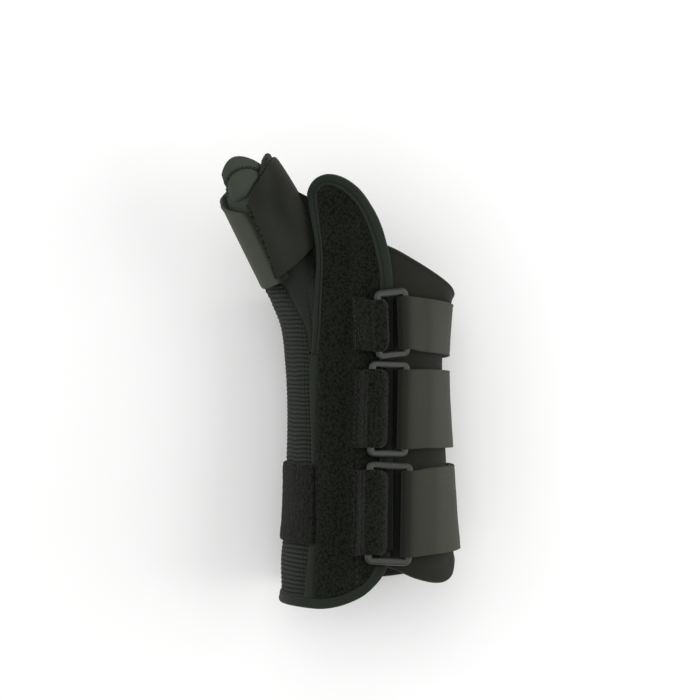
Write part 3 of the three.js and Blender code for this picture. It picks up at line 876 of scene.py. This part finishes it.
def palm_wall():
    chosen = settings()
    pitch, depth = chosen.rib_pitch / MM, chosen.rib_depth / MM

    def spot(a, b):
        """The arc and height of a place, and how high its rib and its rung are."""
        top = PALM_TOP + PALM_REACH * smooth(a, 0.6, 0.3)
        y = mix(HEM_HEIGHT, top, b)
        edge = edge_at(y, "palm")
        arc = mix(edge + SEAM_LAP, girth_at(y) * (SEAM_AT - 1) - SEAM_LAP, a)
        wander = 0.3 * drift(arc * 0.12, y * 0.08, 11)
        rib = abs(sin(pi * (y / pitch + wander))) ** 0.7
        rung = sin(tau * (arc / LADDER_PITCH + wander)) * smooth(arc, edge - 5, edge - 2.5)
        return arc, y, rib, rung

    def place(a, b, c):
        arc, y, rib, rung = spot(a, b)
        out = RIB_WALL - 2 * depth * (1 - rib) + 0.2 * rung
        out += 0.3 * drift(arc * 0.05, y * 0.03, 5)
        flare = PALM_FLARE * hill(y, PALM_TOP, PALM_REACH) * bump(a, 0.25, 0.3)
        return on_sleeve(arc, y, out * c + flare)

    # Painted light and shade: the rib's height and rung, kept as the mark that lights the crowns and
    # darkens the grooves.
    def crown(a, b, c):
        _, _, rib, rung = spot(a, b)
        return clamp(rib**1.4 + 0.35 * rung)

    piece = slab("ribbed_palm_panel", 60, 580, (66, 147), place, 0.3, 1, crown)
    dressed(piece, "ribs", "palm_panel")


STRIP_UNDER_BAND = (26, 32, 66, 72)  # where the strip starts and ends to be flat under the band
BAND_FOOT = 0.42  # how much of the band is below the middle of the forearm's ring


def edge_strip():
    start, flat, flat_end, end = STRIP_UNDER_BAND

    def place(a, b, c):
        y = mix(HEM_HEIGHT - SEAM_LAP, FORK_HEIGHT + SEAM_LAP, b)
        arc = mix(edge_at(y, "palm"), edge_at(y, "left"), a)
        under_band = smooth(y, start, flat) * smooth(y, end, flat_end)
        proud = 0.9 * bump(a, 0.5, 0.55) * (1 - under_band)
        return on_sleeve(arc, y, (RIB_WALL - 0.3 + proud) * c)

    piece = softened(slab("smooth_edge_strip", 8, 90, (4, 115), place, 0.3))
    dressed(piece, "binding", "edge_strip")


def palm_band():
    height = settings().nap_height / MM
    forearm = CLOSURES[2]
    middle, width = ring_height(forearm), forearm.strap - BAND_INSET

    def place(a, b, c):
        y = middle + (b - BAND_FOOT) * width
        arc = mix(edge_at(y, "left") - FIT_GAP, girth_at(y) * (SEAM_AT - 0.98), a)
        out = BAND_THICK - 0.6 * exp(-min(b, 1 - b) * width / 0.9)
        if c > 0.99:
            out += nap(arc, y, 20, height)
        out *= c
        return on_sleeve(arc, y, RIB_WALL + FIT_GAP + 0.1 + out)

    piece = slab("plush_palm_band", 70, 48, (44, width), place, 0.4)
    dressed(piece, "plush", "palm_band")


# The back pad


PAD_PUFF = 3.4  # how far the pad swells above the hand's strap
PAD_PUFF_AT = (0.3, 0.1)  # where round it that is, and how wide
PAD_FLARE = 1.5  # how far it stands out at its lower corner
PAD_FLARE_AT = (0.26, 0.09)
PAD_TURN = (0.42, 0.5)  # the shares round it between which it turns under the hand


def back_pad():
    def place(a, b, c):
        foot = SLEEVE_LENGTH * pad_edges(a, "foot")
        top = SLEEVE_LENGTH * pad_edges(a, "top")
        y = mix(foot, top, b)
        arc = mix(edge_at(y, "right") - PAD_LAP, girth_at(y) * SEAM_AT, a)
        edge = min(y - foot, top - y)
        bead = 0.35 * hill(edge, 1.4, 1) - 0.45 * hill(edge, 3.4, 0.7)
        soft = 0.45 * drift(arc * 0.045, y * 0.06, 31)
        puff = PAD_PUFF * hill(a, *PAD_PUFF_AT) * smooth(top - y, 16, 4)
        flare = PAD_FLARE * hill(a, *PAD_FLARE_AT) * smooth(y - foot, 9, 2)
        seen = 1 - smooth(a, *PAD_TURN)
        return on_sleeve(arc, y, (PAD_WALL - 0.25 + (bead + soft) * seen) * c + (puff + flare) * seen)

    piece = softened(slab("padded_back_pad", 120, 96, (150, 150), place, 0.9))
    dressed(piece, "pad", "back_pad")


# The thumb


def thumb_point(end):
    """A point of the thumb's middle line from its three shares."""
    across, along, high = end
    return Vector((across * HOLLOW_WIDTH, along * SLEEVE_LENGTH, HOLLOW_FLOOR + high * HOLLOW_HEIGHT))


RIM = thumb_point(THUMB_RIM)
DOWN = (thumb_point(THUMB_BASE) - RIM).normalized()
SIDE = Vector((-DOWN.y, DOWN.x, 0)).normalized()
UP = DOWN.cross(SIDE)


def on_thumb(turn, drop, radius):
    """A point turned round the thumb from its top, drop down from the rim's plane."""
    angle = radians(turn)
    return RIM + DOWN * drop + UP * (radius * cos(angle)) - SIDE * (radius * sin(angle))


RIM_HIGHEST = 6  # the turn at which the rim is highest
RIM_SPAN = 45  # how far round from there it drops by its arch


def rim_drop(turn):
    return RIM_ARCH * ((turn - RIM_HIGHEST) / RIM_SPAN) ** 2 - RIM_RISE


def channel_height(up):
    """The height above the hem of a share of the channel, from its tip to its rim."""
    return CHANNEL_TIP - up * CHANNEL_LENGTH * DOWN.y


PRESSED_SEAMS = ((0.8, 1 / 12), (0.12, 1 / 14))  # each one's place across the channel and width
STITCHED_SEAM = 0.87  # the place across of the seam that is stitched


def thumb_channel():
    top_palm, top_back = channel_sides(1, "palm"), channel_sides(1, "back")

    def place(a, up, c):
        rim = rim_drop(mix(top_palm, -top_back, a))
        drop = mix(CHANNEL_LENGTH, rim, up)
        near_rim = drop - rim
        bead = 0.55 * smooth(near_rim, POCKET_TOP, POCKET_TOP - 1)
        bead -= 0.5 * hill(near_rim, POCKET_TOP + 0.5, 1)
        seams = sum(hill(a, *seam) for seam in PRESSED_SEAMS) * smooth(up, 0.5, 0.35)
        wall = (THUMB_WALL + bead * smooth(up, 0.6, 0.8) - 0.45 * seams) * c
        turn = mix(channel_sides(up, "palm"), -channel_sides(up, "back"), a)
        tube = on_thumb(turn, drop, THUMB_RADIUS + wall)
        y = channel_height(up)
        right = edge_at(y, "left") - binding_width(y) - 2 * FIT_GAP + SEAM_LAP
        flat = on_sleeve(mix(edge_at(y, "palm"), right, a), y - SEAM_LAP, wall)
        return flat.lerp(tube, clamp(channel_sides(up, "lift")))

    # Painted shade: the channel's lower part is darkened for the thumb strap's shadow over it.
    def strap_shadow_on_channel(a, b, c):
        return 0.85 * smooth(b, 0.7, 0.45)

    piece = softened(slab("padded_thumb_channel", 40, 110, (24, 99), place, 0.5, mark=strap_shadow_on_channel))
    dressed(piece, "channel", "thumb_channel")

    def seam(up, lift):
        return place(STITCHED_SEAM, up, 1 + lift)

    ups = [i / 60 for i in range(2, 27)]
    stitches("channel_seam_stitches", seam, ups, 2.2, (2, 0.7), "hook", True)

    def under_rim(turn, lift):
        return on_thumb(turn, rim_drop(turn) + POCKET_TOP - 0.2, THUMB_OUTER + 0.35 + lift)

    turns = range(60, -57, -2)
    stitches("rim_stitches", under_rim, turns, 1.9, (1.9, 0.75), "hook", True)


POCKET_MIDDLE = 10  # its turn
POCKET_SPAN = 72  # how far round the thumb it goes, in degrees
POCKET_ENDS = 0.6  # how wide its ends are, of its middle


def stay_pocket():
    inner = THUMB_OUTER + FIT_GAP

    def place(a, b, c):
        narrow = mix(POCKET_ENDS, 1, (1 - abs(2 * b - 1) ** 3) ** (1 / 3))
        turn = POCKET_MIDDLE + POCKET_SPAN * (0.5 - a) * narrow
        foot = POCKET_TOP + POCKET_LENGTH - POCKET_SKEW * smooth(a, 0.4, 1)
        drop = mix(foot, rim_drop(turn) + POCKET_TOP + 0.6, b)
        crown = 0.35 + 1.25 * (1 - (2 * a - 1) ** 4) * (1 - (2 * b - 1) ** 4)
        return on_thumb(turn, drop, inner + POCKET_THICK * crown * c)

    piece = softened(slab("padded_stay_pocket", 22, 16, (17, 12), place, 0.5))
    dressed(piece, "channel", "thumb_stay_pocket")


THUMB_STRAP_RADIUS = 16  # its mean one, for its length
STRAP_SWELL = 2.6  # how far the thumb strap bulges beside the panel
STRAP_SWELL_AT = (282, 34)  # at which turn, and how wide, in degrees
STRAP_GAPE = 1.8  # how far its upper edge stands off the channel
STRAP_GAPE_AT = (50, 36)
FLAP_DARKENS = (240, 290)  # the turns over which the end flap darkens
START_SHADE_TURNS = (36, 24)  # and those over which the start takes painted shade, under and beside the flap's lifted end
HOOK_SHOWS = 5.5  # how far the hook tape shows past the strap's end, in degrees
CORNER_HOOK = 4  # how far it shows past the strap's corner
CORNER_TURNS = (272, 338)


def thumb_strap_place(turn, b, out):
    """A point on the thumb strap: turn along it, b across it and out from its inner face."""
    drop = THUMB_STRAP_WIDTH * mix(thumb_strap_run(turn, "top"), thumb_strap_run(turn, "foot"), b)
    loose = THUMB_STRAP_LOOSE * ease(turn / 180)
    swell = STRAP_SWELL * hill(turn, *STRAP_SWELL_AT) * arch(b) ** 0.8
    layer = LAYER_STEP * thumb_strap_run(turn, "layer")
    return on_thumb(turn, drop, THUMB_OUTER + FIT_GAP + loose + swell + layer + out)


def thumb_strap():
    first, last = thumb_strap_run.keys[0], thumb_strap_run.keys[-1]

    def end_turn(b):
        """The end edge leans, and bows a little."""
        return last - THUMB_STRAP_SKEW * (1 - b) - 3 * arch(b)

    def lift(turn, b):
        return 1.1 * smooth(turn, end_turn(b) - 16, end_turn(b)) ** 2

    def place(a, b, c):
        turn = mix(first, end_turn(a), b)
        sway = 0.3 * drift(turn * 0.02, a * 3, 8)
        flat = 0.3 * exp(-min(a, 1 - a) * THUMB_STRAP_WIDTH / 0.6)
        wall = (STRAP_THICK - flat) * c
        gape = STRAP_GAPE * smooth(a, 0.15, 0) * bump(turn, *STRAP_GAPE_AT)
        return thumb_strap_place(turn, a, lift(turn, a) + gape + max(sway, -0.1) + wall)

    def dark_flap_and_start_shade(a, b, c):
        """The end flap is darker, and painted shade darkens the start under and beside the flap's
        lifted end.
        """
        turn = mix(first, end_turn(a), b)
        uneven = 0.84 + 0.16 * drift(turn * 0.035, a * 2.2, 3)
        return uneven * max(smooth(turn, *FLAP_DARKENS), smooth(turn, *START_SHADE_TURNS))

    length = radians(last - first) * THUMB_STRAP_RADIUS
    piece = softened(slab("webbing_thumb_strap", 30, 170, (45, length), place, 0.3, mark=dark_flap_and_start_shade))
    dressed(piece, "thumb_strap", "thumb_strap")

    def hook_place(a, b, c):
        end = end_turn(a)
        ragged = 2.6 * drift(a * 34, 5, 1) + 1.3 * drift(a * 90, 5, 4)
        turn = mix(end - 30, end + HOOK_SHOWS + ragged, b)
        out = lift(turn, a) - 0.7 + (0.75 + 0.3 * drift(turn * 1.1, a * 70, 2)) * c
        return thumb_strap_place(turn, mix(0.01, 0.99, a), out)

    hook = slab("thumb_strap_hook_tape", 150, 34, (45, 9), hook_place, 0.1)
    dressed(hook, "hook")

    def corner_place(a, b, c):
        """Hook tape that shows past the strap's upper edge, behind its corner."""
        turn = mix(*CORNER_TURNS, b)
        out = mix(-0.9, -0.1, c) + 0.25 * drift(turn * 0.9, a * 20, 6)
        reach = CORNER_HOOK * arch(b) ** 0.6 + 0.6 * drift(turn * 0.6, 3, 9)
        return thumb_strap_place(turn, mix(-reach / THUMB_STRAP_WIDTH, 0.12, a), out)

    corner = slab("thumb_strap_corner_hooks", 24, 60, (8, 14), corner_place, 0.1)
    dressed(corner, "hook")


GUSSET_SPAN = (0.35, 0.86)  # the shares of the channel between which the gusset lies
GUSSET_SAG = 1.6
PUCKER = 0.35  # how high its gathers are
PUCKERS = 46 / tau  # how many there are


def web_gusset():
    """Stretch cloth between the thumb channel and the thumb-side panel's binding."""

    def place(a, b, c):
        up = mix(*GUSSET_SPAN, b)
        drop = CHANNEL_LENGTH * (1 - up)
        turn = -channel_sides(up, "back")
        near = on_thumb(turn, drop, THUMB_RADIUS + THUMB_WALL * 0.4)
        y = min(channel_height(up), panel_top(0) - 1)
        far = on_sleeve(edge_at(y, "left") - binding_width(y) * 0.6, y, 0.4)
        pucker = PUCKER * sin(tau * b * PUCKERS)
        return near.lerp(far, a) + Vector((0, 0, (pucker - GUSSET_SAG) * arch(a) - 0.9 * (1 - c)))

    piece = softened(slab("stretch_thumb_gusset", 14, 40, (14, 48), place, 0.2))
    dressed(piece, "gusset")


# Rings, tabs and straps


def ring_length(closure):
    return closure.strap + RING_SLACK + 2 * RING_BAR


def ring_height(closure):
    apart = (ring_length(CLOSURES[1]) + ring_length(closure)) / 2 + closure.gap
    return WRIST_RING_AT * SLEEVE_LENGTH + closure.side * apart


BAR_SQUARE = 0.8  # the power that squares a ring's bar
TURN_SQUARE = 0.7  # and the one for the strap's turn round it
RING_GROOVE = (0.28, -0.1, 0.35)  # depth, place and width of the parting line on a ring's faces


class RingFrame:
    """Where a ring lies: its middle and its own three directions."""

    def __init__(self, closure):
        self.closure = closure
        self.y = ring_height(closure)
        self.arc = self.arc_beside(0)
        self.reach = closure.ring / 2 - RING_BAR / 2
        self.twist = radians(closure.twist)
        under = OVERLAP_STEP + PAD_WALL + BINDING_PROUD + TAB_THICK + 2 * FIT_GAP + RING_CLEAR
        out = under + RING_THICK / 2 - self.reach * sin(RING_LEAN)
        span = closure.strap / 2
        self.middle = on_sleeve(self.arc, self.y, out)
        self.along = on_sleeve(self.arc_beside(span), self.y + span, out)
        self.along -= on_sleeve(self.arc_beside(-span), self.y - span, out)
        self.along.normalize()
        across = on_sleeve(self.arc + 1, self.y, out) - on_sleeve(self.arc - 1, self.y, out)
        normal = across.cross(self.along).normalized()
        self.out = Matrix.Rotation(RING_LEAN, 3, self.along) @ normal
        self.along = Matrix.Rotation(-self.twist, 3, self.out) @ self.along
        self.across = self.along.cross(self.out)

    def arc_beside(self, place):
        """The arc at which the ring's middle line lies, place along the sleeve from its middle."""
        return arc_at(self.y + place, self.closure.across)

    def at(self, x, y, z):
        return self.middle + self.across * x + self.along * y + self.out * z

    def round_bar(self, turn, place, away):
        """A point turned round the strap's bar from beneath it, away from its face."""
        angle = radians(turn)
        x = (RING_BAR / 2 + away) * squared(sin(angle), TURN_SQUARE)
        z = (RING_THICK / 2 + away) * squared(cos(angle), TURN_SQUARE)
        return self.at(self.reach - x, place, -z)


def squared(value, power):
    """A sine or cosine that makes a squarer round, the more so the smaller the power."""
    return copysign(abs(value) ** power, value)


def rounded_loop(width, length, corner, t):
    """A point and its outward direction on a rounded rectangle, for t from 0 to 1."""
    x, y = width / 2 - corner, length / 2 - corner
    arc = corner * pi / 2
    sides = (2 * y, arc, 2 * x, arc) * 2
    rest = (t % 1) * sum(sides)
    centres = ((x, -y), (x, y), (-x, y), (-x, -y))
    for i, span in enumerate(sides):
        if rest <= span or i == 7:
            turn = radians(90 * (i // 2) + (90 * rest / span if i % 2 else 0))
            out = Vector((cos(turn), sin(turn)))
            along = Vector((-out.y, out.x)) * (0 if i % 2 else rest)
            return Vector(centres[(i + 1) // 2 % 4]) + out * corner + along, out
        rest -= span


def ring(closure, place):
    """A plastic ring with a fine groove along the middle of both faces."""
    half = RING_BAR / 2
    depth, middle, spread = RING_GROOVE
    width, length = closure.ring - RING_BAR, ring_length(closure) - RING_BAR
    bm = grid(160, 24)
    for v in bm.verts:
        turn = v.co.y * tau
        spot, out = rounded_loop(width, length, RING_CORNER - half, v.co.x)
        beside = half * squared(cos(turn), BAR_SQUARE)
        above = RING_THICK / 2 * squared(sin(turn), BAR_SQUARE)
        above -= copysign(depth * hill(beside, middle, spread), above)
        spot += out * beside
        v.co = (place.at(spot.x, spot.y, above) + SHIFT) * MM
    bmesh.ops.remove_doubles(bm, verts=bm.verts[:], dist=1e-6)
    bmesh.ops.recalc_face_normals(bm, faces=bm.faces[:])
    piece = finished(f"moulded_{closure.name}_ring", bm)
    dressed(piece, "loop", f"{closure.name}_ring")


def spline(points, t):
    """A smooth curve through points, for t from 0 to 1."""
    last = len(points) - 1
    at = clamp(t) * last
    i = min(int(at), last - 1)
    u = at - i
    p0, p1, p2, p3 = (points[min(max(i + k, 0), last)] for k in (-1, 0, 1, 2))
    square = 2 * p0 - 5 * p1 + 4 * p2 - p3
    cube = 3 * p1 - p0 - 3 * p2 + p3
    return 0.5 * (2 * p1 + (p2 - p0) * u + square * u**2 + cube * u**3)


def ribbon(name, across, along, width, route, relief, mark):
    """A strip whose length follows route(a, c), with relief added to its outer face."""
    rows = {}

    def path(a, c):
        key = (round(a, 4), c)
        if key not in rows:
            rows[key] = route(a, c)
        return rows[key]

    middle = route(0.5, 1)
    length = sum((q - p).length for p, q in zip(middle, middle[1:]))

    def place(a, b, c):
        inner, outer = spline(path(a, 0), b), spline(path(a, 1), b)
        share = c
        if c > 0.99:
            share += relief(a, b, outer) / max((outer - inner).length, 0.1)
        spot = inner.lerp(outer, share)
        spot.z = max(spot.z, 0)
        return spot

    return slab(name, across, along, (width, length), place, 0.25, mark=mark)


TAB_SEAM = 0.82  # the sewn line where the tab's loop starts, as a share of its course
TAB_CORNER = (5, 3)  # how far from its edges the loop is rounded, and by how much
TAB_FOLD_AT = 0.52  # where along its course the loop's outermost fold is


def tab(closure, place):
    """A strip of plush folded loosely round the ring's bar, both layers sewn to the panel."""
    width = closure.strap - RING_SLACK
    top = section_at(place.y).top
    bar_reach = place.reach * top / (top + PAD_WALL)
    half = RING_THICK / 2

    def on_panel(back, across, out):
        y = place.y + across
        arc = place.arc_beside(across) - bar_reach - back + across * tan(place.twist)
        left, right = edge_at(y, "left"), edge_at(y, "right")
        a = clamp((arc - left) / (right - left))
        return on_sleeve(arc, y, panel_raise(a) + PAD_WALL + FIT_GAP + out)

    def route(a, c):
        across = (a - 0.5) * width
        edge = clamp(1 - min(a, 1 - a) * width / TAB_CORNER[0])
        fold = closure.fold - TAB_CORNER[1] * (1 - sqrt(1 - edge * edge))
        length = closure.tab
        low, high = TAB_THICK * (1 - c), TAB_THICK * c
        bar = -place.reach
        return [
            on_panel(length, across, low),
            on_panel(length * 0.5, across, low),
            on_panel(0, across, low),
            on_panel(1.2 - fold, across, low + 0.5),
            place.at(bar + fold - low, across, -1.1),
            place.at(bar + fold - 0.7 - low * 0.7, across, 0.9 + high * 0.3),
            place.at(bar + fold * 0.5, across, half + 0.5 + high),
            place.at(bar - 0.2, across, half + 0.4 + high),
            place.at(bar - 2.2 - high * 0.5, across, 0.5 + high),
            on_panel(length * 0.62, across, TAB_THICK + 0.5 + high),
            on_panel(length, across, TAB_THICK + 0.2 + high * 0.8),
        ]

    height = settings().nap_height / MM

    def relief(a, b, p):
        return nap(p.x * 1.1, p.y, 40 + p.z * 0.2, height) - 0.45 * hill(b, TAB_SEAM, 0.012)

    # Painted highlight along the edge of the loop's outermost fold.
    def fold_highlight(a, b, c):
        return 0.9 * c * hill(b, TAB_FOLD_AT, 0.035)

    piece = ribbon(f"plush_{closure.name}_tab", 60, 110, width, route, relief, fold_highlight)
    dressed(piece, "plush", f"{closure.name}_tab")
    spots = [mix(-0.47, 0.47, i / 24) * width for i in range(25)]
    for back, name in ((0.9, "edge"), (min(3.2, closure.tab * 0.45), "loop")):

        def row(across, lift):
            return on_panel(closure.tab - back, across, 2 * TAB_THICK + 0.2) + place.out * lift

        title = f"{closure.name}_tab_{name}_stitches"
        stitches(title, row, spots, 2.4, (1.8, 0.5), "thread")


STRAP_FOLD = 1  # from its ring to where its two layers part
STRAP_TURN = (-45, 200)  # how far round the bar it lies, in degrees from beneath it
UPPER_LAYER = 0.45  # where along the strap its upper layer starts
SEEN_HEIGHT = 20  # the lowest place at which its edge lines show


def strap(closure, place):
    near = place.arc + closure.ring / 2 + STRAP_FOLD
    far = girth_at(place.y) * STRAP_END_AT
    sewn = girth_at(place.y) * STRAP_SEWN_AT
    folded = LAYER_STEP + RING_THICK + FIT_GAP

    def on_strap(arc, across, out):
        side = across - closure.drop * (arc - near) / (far - near)
        skew = place.arc_beside(side) - place.arc + side * tan(place.twist)
        return on_sleeve(arc + skew, place.y + side, PAD_WALL + STRAP_GAP + out)

    def height_at(arc):
        risen = mix(folded, LAYER_STEP, smooth(arc, near - STRAP_SETTLE / 2, near + STRAP_SETTLE))
        return risen * (1 - smooth(arc, sewn, sewn + STRAP_SETTLE / 2))

    def route(a, c):
        across = (a - 0.5) * closure.strap
        inner, outer = STRAP_THICK * (1 - c), STRAP_THICK * c
        starts = [mix(sewn - FIT_GAP, near, i / 8) for i in range(9)]
        turns = [mix(*STRAP_TURN, i / 7) for i in range(8)]
        ends = [mix(near, far, i / 23) for i in range(1, 24)]
        low = [on_strap(arc, across, inner) for arc in starts]
        turned = [place.round_bar(turn, across, FIT_GAP + outer) for turn in turns]
        return low + turned + [on_strap(arc, across, height_at(arc) + outer) for arc in ends]

    def relief(a, b, p):
        """A line beside each edge, where the upper layer is seen."""
        if b < UPPER_LAYER or p.z < SEEN_HEIGHT:
            return 0.0
        edge = min(a, 1 - a) * closure.strap
        return 0.12 * drift(p.x * 0.1, p.y * 0.1, p.z * 0.1) - 0.25 * hill(edge, 1.6, 0.35)

    def slot_fold_shade(a, b, c):
        """Painted shade: darker where the strap turns round the bar down into the slot."""
        return 0.9 * smooth(b, 0.5, 0.35) * smooth(b, 0.1, 0.2)

    piece = ribbon(f"webbing_{closure.name}_strap", 40, 190, closure.strap, route, relief, slot_fold_shade)
    dressed(piece, "strap", f"{closure.name}_strap")


def closures():
    for closure in CLOSURES:
        place = RingFrame(closure)
        for make in (ring, tab, strap):
            make(closure, place)


# The stage


PHOTO_WIDTH = 700  # pixels
PHOTO_SCALE = 0.475  # millimetres a pixel, where the splint is widest
PHOTO_ORIGIN = (368, 608)  # the pixel at the middle of the hem
PHOTO_LEVEL = 66  # height of that plane over the floor, in millimetres
# Each softbox's place, size, and share of the side or top light's power
SOFTBOXES = {
    "left_softbox": ((-0.75, 0.15, 0.6), 0.7, "side_light", 0.6),
    "right_softbox": ((0.8, 0.0, 0.6), 0.7, "side_light", 1.4),
    "top_softbox": ((-0.1, 0.5, 1.3), 0.8, "top_light", 1),
}


def stage():
    chosen = settings()
    scene = bpy.context.scene
    bm = bmesh.new()
    bmesh.ops.create_grid(bm, x_segments=8, y_segments=8, size=chosen.floor_size / 2)
    mesh = bpy.data.meshes.new("floor")
    bm.to_mesh(mesh)
    bm.free()
    floor = bpy.data.objects.new("floor", mesh)
    floor.data.materials.append(cloth("paper"))
    scene.collection.objects.link(floor)
    floor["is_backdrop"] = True

    world = bpy.data.worlds.new("studio")
    world.use_nodes = True
    background = world.node_tree.nodes["Background"]
    background.inputs["Color"].default_value = (1, 1, 1, 1)
    background.inputs["Strength"].default_value = chosen.room_light
    scene.world = world
    scene.view_settings.view_transform = "Standard"
    scene.view_settings.look = "None"

    for name, (place, size, power, part) in SOFTBOXES.items():
        light = bpy.data.lights.new(name, "AREA")
        light.size = size
        light.energy = getattr(chosen, power) * part
        lamp = bpy.data.objects.new(name, light)
        lamp.location = place
        aim = Vector((0, 0, 0.04)) - lamp.location
        lamp.rotation_euler = aim.to_track_quat("-Z", "Y").to_euler()
        scene.collection.objects.link(lamp)

    camera = bpy.data.objects.new("camera", bpy.data.cameras.new("camera"))
    camera.data.lens = 100
    frame_width = PHOTO_WIDTH * PHOTO_SCALE
    distance = frame_width * camera.data.lens / camera.data.sensor_width
    middle = Vector((PHOTO_WIDTH / 2 - PHOTO_ORIGIN[0], PHOTO_ORIGIN[1] - PHOTO_WIDTH / 2, 0))
    aim = middle * PHOTO_SCALE + SHIFT
    camera.location = (aim.x * MM, aim.y * MM, (distance + PHOTO_LEVEL) * MM)
    camera.data.clip_end = 10
    scene.collection.objects.link(camera)
    scene.camera = camera


# The add-on


def colour_property(name, value):
    words = {"description": f"{name}, in linear light", "subtype": "COLOR"}
    return FloatVectorProperty(name=name, default=value, min=0, max=1, **words)


def number_property(name, description, value, unit="LENGTH"):
    return FloatProperty(name=name, description=description, default=value, unit=unit, precision=5)


class SplintSettings(bpy.types.PropertyGroup):
    """The sizes, colours and studio values that a user may change."""

    nap_height: number_property("Nap height", "Height of the plush tufts", 0.00045)
    rib_pitch: number_property("Rib pitch", "Distance between two ribs of the elastic", 0.00208)
    rib_depth: number_property("Rib depth", "Half the depth of a rib", 0.00025)
    stitch_pitch: number_property("Stitch pitch", "Distance between two stitches", 0.003)
    plush_colour: colour_property("Plush colour", (0.0056, 0.007, 0.0041))
    binding_colour: colour_property("Binding colour", (0.0155, 0.0198, 0.0142))
    rib_colour: colour_property("Rib colour", (0.0098, 0.0125, 0.009))
    pad_colour: colour_property("Pad colour", (0.0135, 0.0148, 0.0107))
    channel_colour: colour_property("Thumb channel colour", (0.042, 0.05, 0.039))
    thumb_strap_colour: colour_property("Thumb strap colour", (0.05, 0.055, 0.042))
    strap_colour: colour_property("Strap colour", (0.04, 0.0425, 0.0315))
    loop_colour: colour_property("Loop colour", (0.015, 0.017, 0.0135))
    thread_colour: colour_property("Thread colour", (0.03, 0.034, 0.027))
    hook_colour: colour_property("Hook tape colour", (0.016, 0.021, 0.014))
    gusset_colour: colour_property("Gusset colour", (0.008, 0.0095, 0.0075))
    floor_colour: colour_property("Floor colour", (0.94, 0.94, 0.935))
    floor_size: number_property("Floor size", "Side of the floor", 6)
    room_light: number_property("Room light", "Strength of the light all round", 0.72, "NONE")
    side_light: number_property("Side light", "Mean power of the side softboxes", 3.1, "POWER")
    top_light: number_property("Top light", "Power of the top softbox", 2.5, "POWER")


class SPLINT_OT_thumb_side(bpy.types.Operator):
    """Makes the plush thumb-side panel and its rolled bindings"""

    bl_idname = "splint.thumb_side"
    bl_label = "Thumb-side panel"

    def execute(self, context):
        plush_panel()
        make_bindings()
        return {"FINISHED"}


class SPLINT_OT_palm_side(bpy.types.Operator):
    """Makes the ribbed palm panel, the strip beside it and the plush band across it"""

    bl_idname = "splint.palm_side"
    bl_label = "Palm side"

    def execute(self, context):
        palm_wall()
        edge_strip()
        palm_band()
        return {"FINISHED"}


class SPLINT_OT_back_pad(bpy.types.Operator):
    """Makes the smooth pad that closes the sleeve's back"""

    bl_idname = "splint.back_pad"
    bl_label = "Back pad"

    def execute(self, context):
        back_pad()
        return {"FINISHED"}


class SPLINT_OT_thumb(bpy.types.Operator):
    """Makes the thumb channel, its stay pocket and its strap"""

    bl_idname = "splint.thumb"
    bl_label = "Thumb channel and strap"

    def execute(self, context):
        thumb_channel()
        stay_pocket()
        thumb_strap()
        web_gusset()
        return {"FINISHED"}


class SPLINT_OT_closures(bpy.types.Operator):
    """Makes each ring with its plush tab and elastic strap"""

    bl_idname = "splint.closures"
    bl_label = "Rings, tabs and straps"

    def execute(self, context):
        closures()
        return {"FINISHED"}


class SPLINT_OT_stage(bpy.types.Operator):
    """Makes the pale floor, the studio light and the camera"""

    bl_idname = "splint.stage"
    bl_label = "Stage"

    def execute(self, context):
        stage()
        return {"FINISHED"}


OPERATORS = (
    SPLINT_OT_thumb_side,
    SPLINT_OT_palm_side,
    SPLINT_OT_back_pad,
    SPLINT_OT_thumb,
    SPLINT_OT_closures,
    SPLINT_OT_stage,
)


class SPLINT_PT_panel(bpy.types.Panel):
    """Lists the splint's pieces in the sidebar"""

    bl_label = "Thumb spica splint"
    bl_space_type = "VIEW_3D"
    bl_region_type = "UI"
    bl_category = "Splint"

    def draw(self, context):
        for operator in OPERATORS:
            self.layout.operator(operator.bl_idname)
        for name in SplintSettings.__annotations__:
            self.layout.prop(context.scene.splint, name)


CLASSES = (SplintSettings, *OPERATORS, SPLINT_PT_panel)


def register():
    for made in CLASSES:
        bpy.utils.register_class(made)
    bpy.types.Scene.splint = PointerProperty(type=SplintSettings)


def unregister():
    del bpy.types.Scene.splint
    for made in reversed(CLASSES):
        bpy.utils.unregister_class(made)


def write_sizes():
    """Works out the frame's box and the finished model's box as lists of numbers."""
    boxes = {"cad": CAD_BOX, "visual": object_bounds()}
    plain = {name: [[float(x) for x in corner] for corner in box] for name, box in boxes.items()}


def main():
    register()
    for operator in OPERATORS:
        group, name = operator.bl_idname.split(".")
        getattr(getattr(bpy.ops, group), name)()
    write_sizes()


if __name__ == "__main__":
    main()
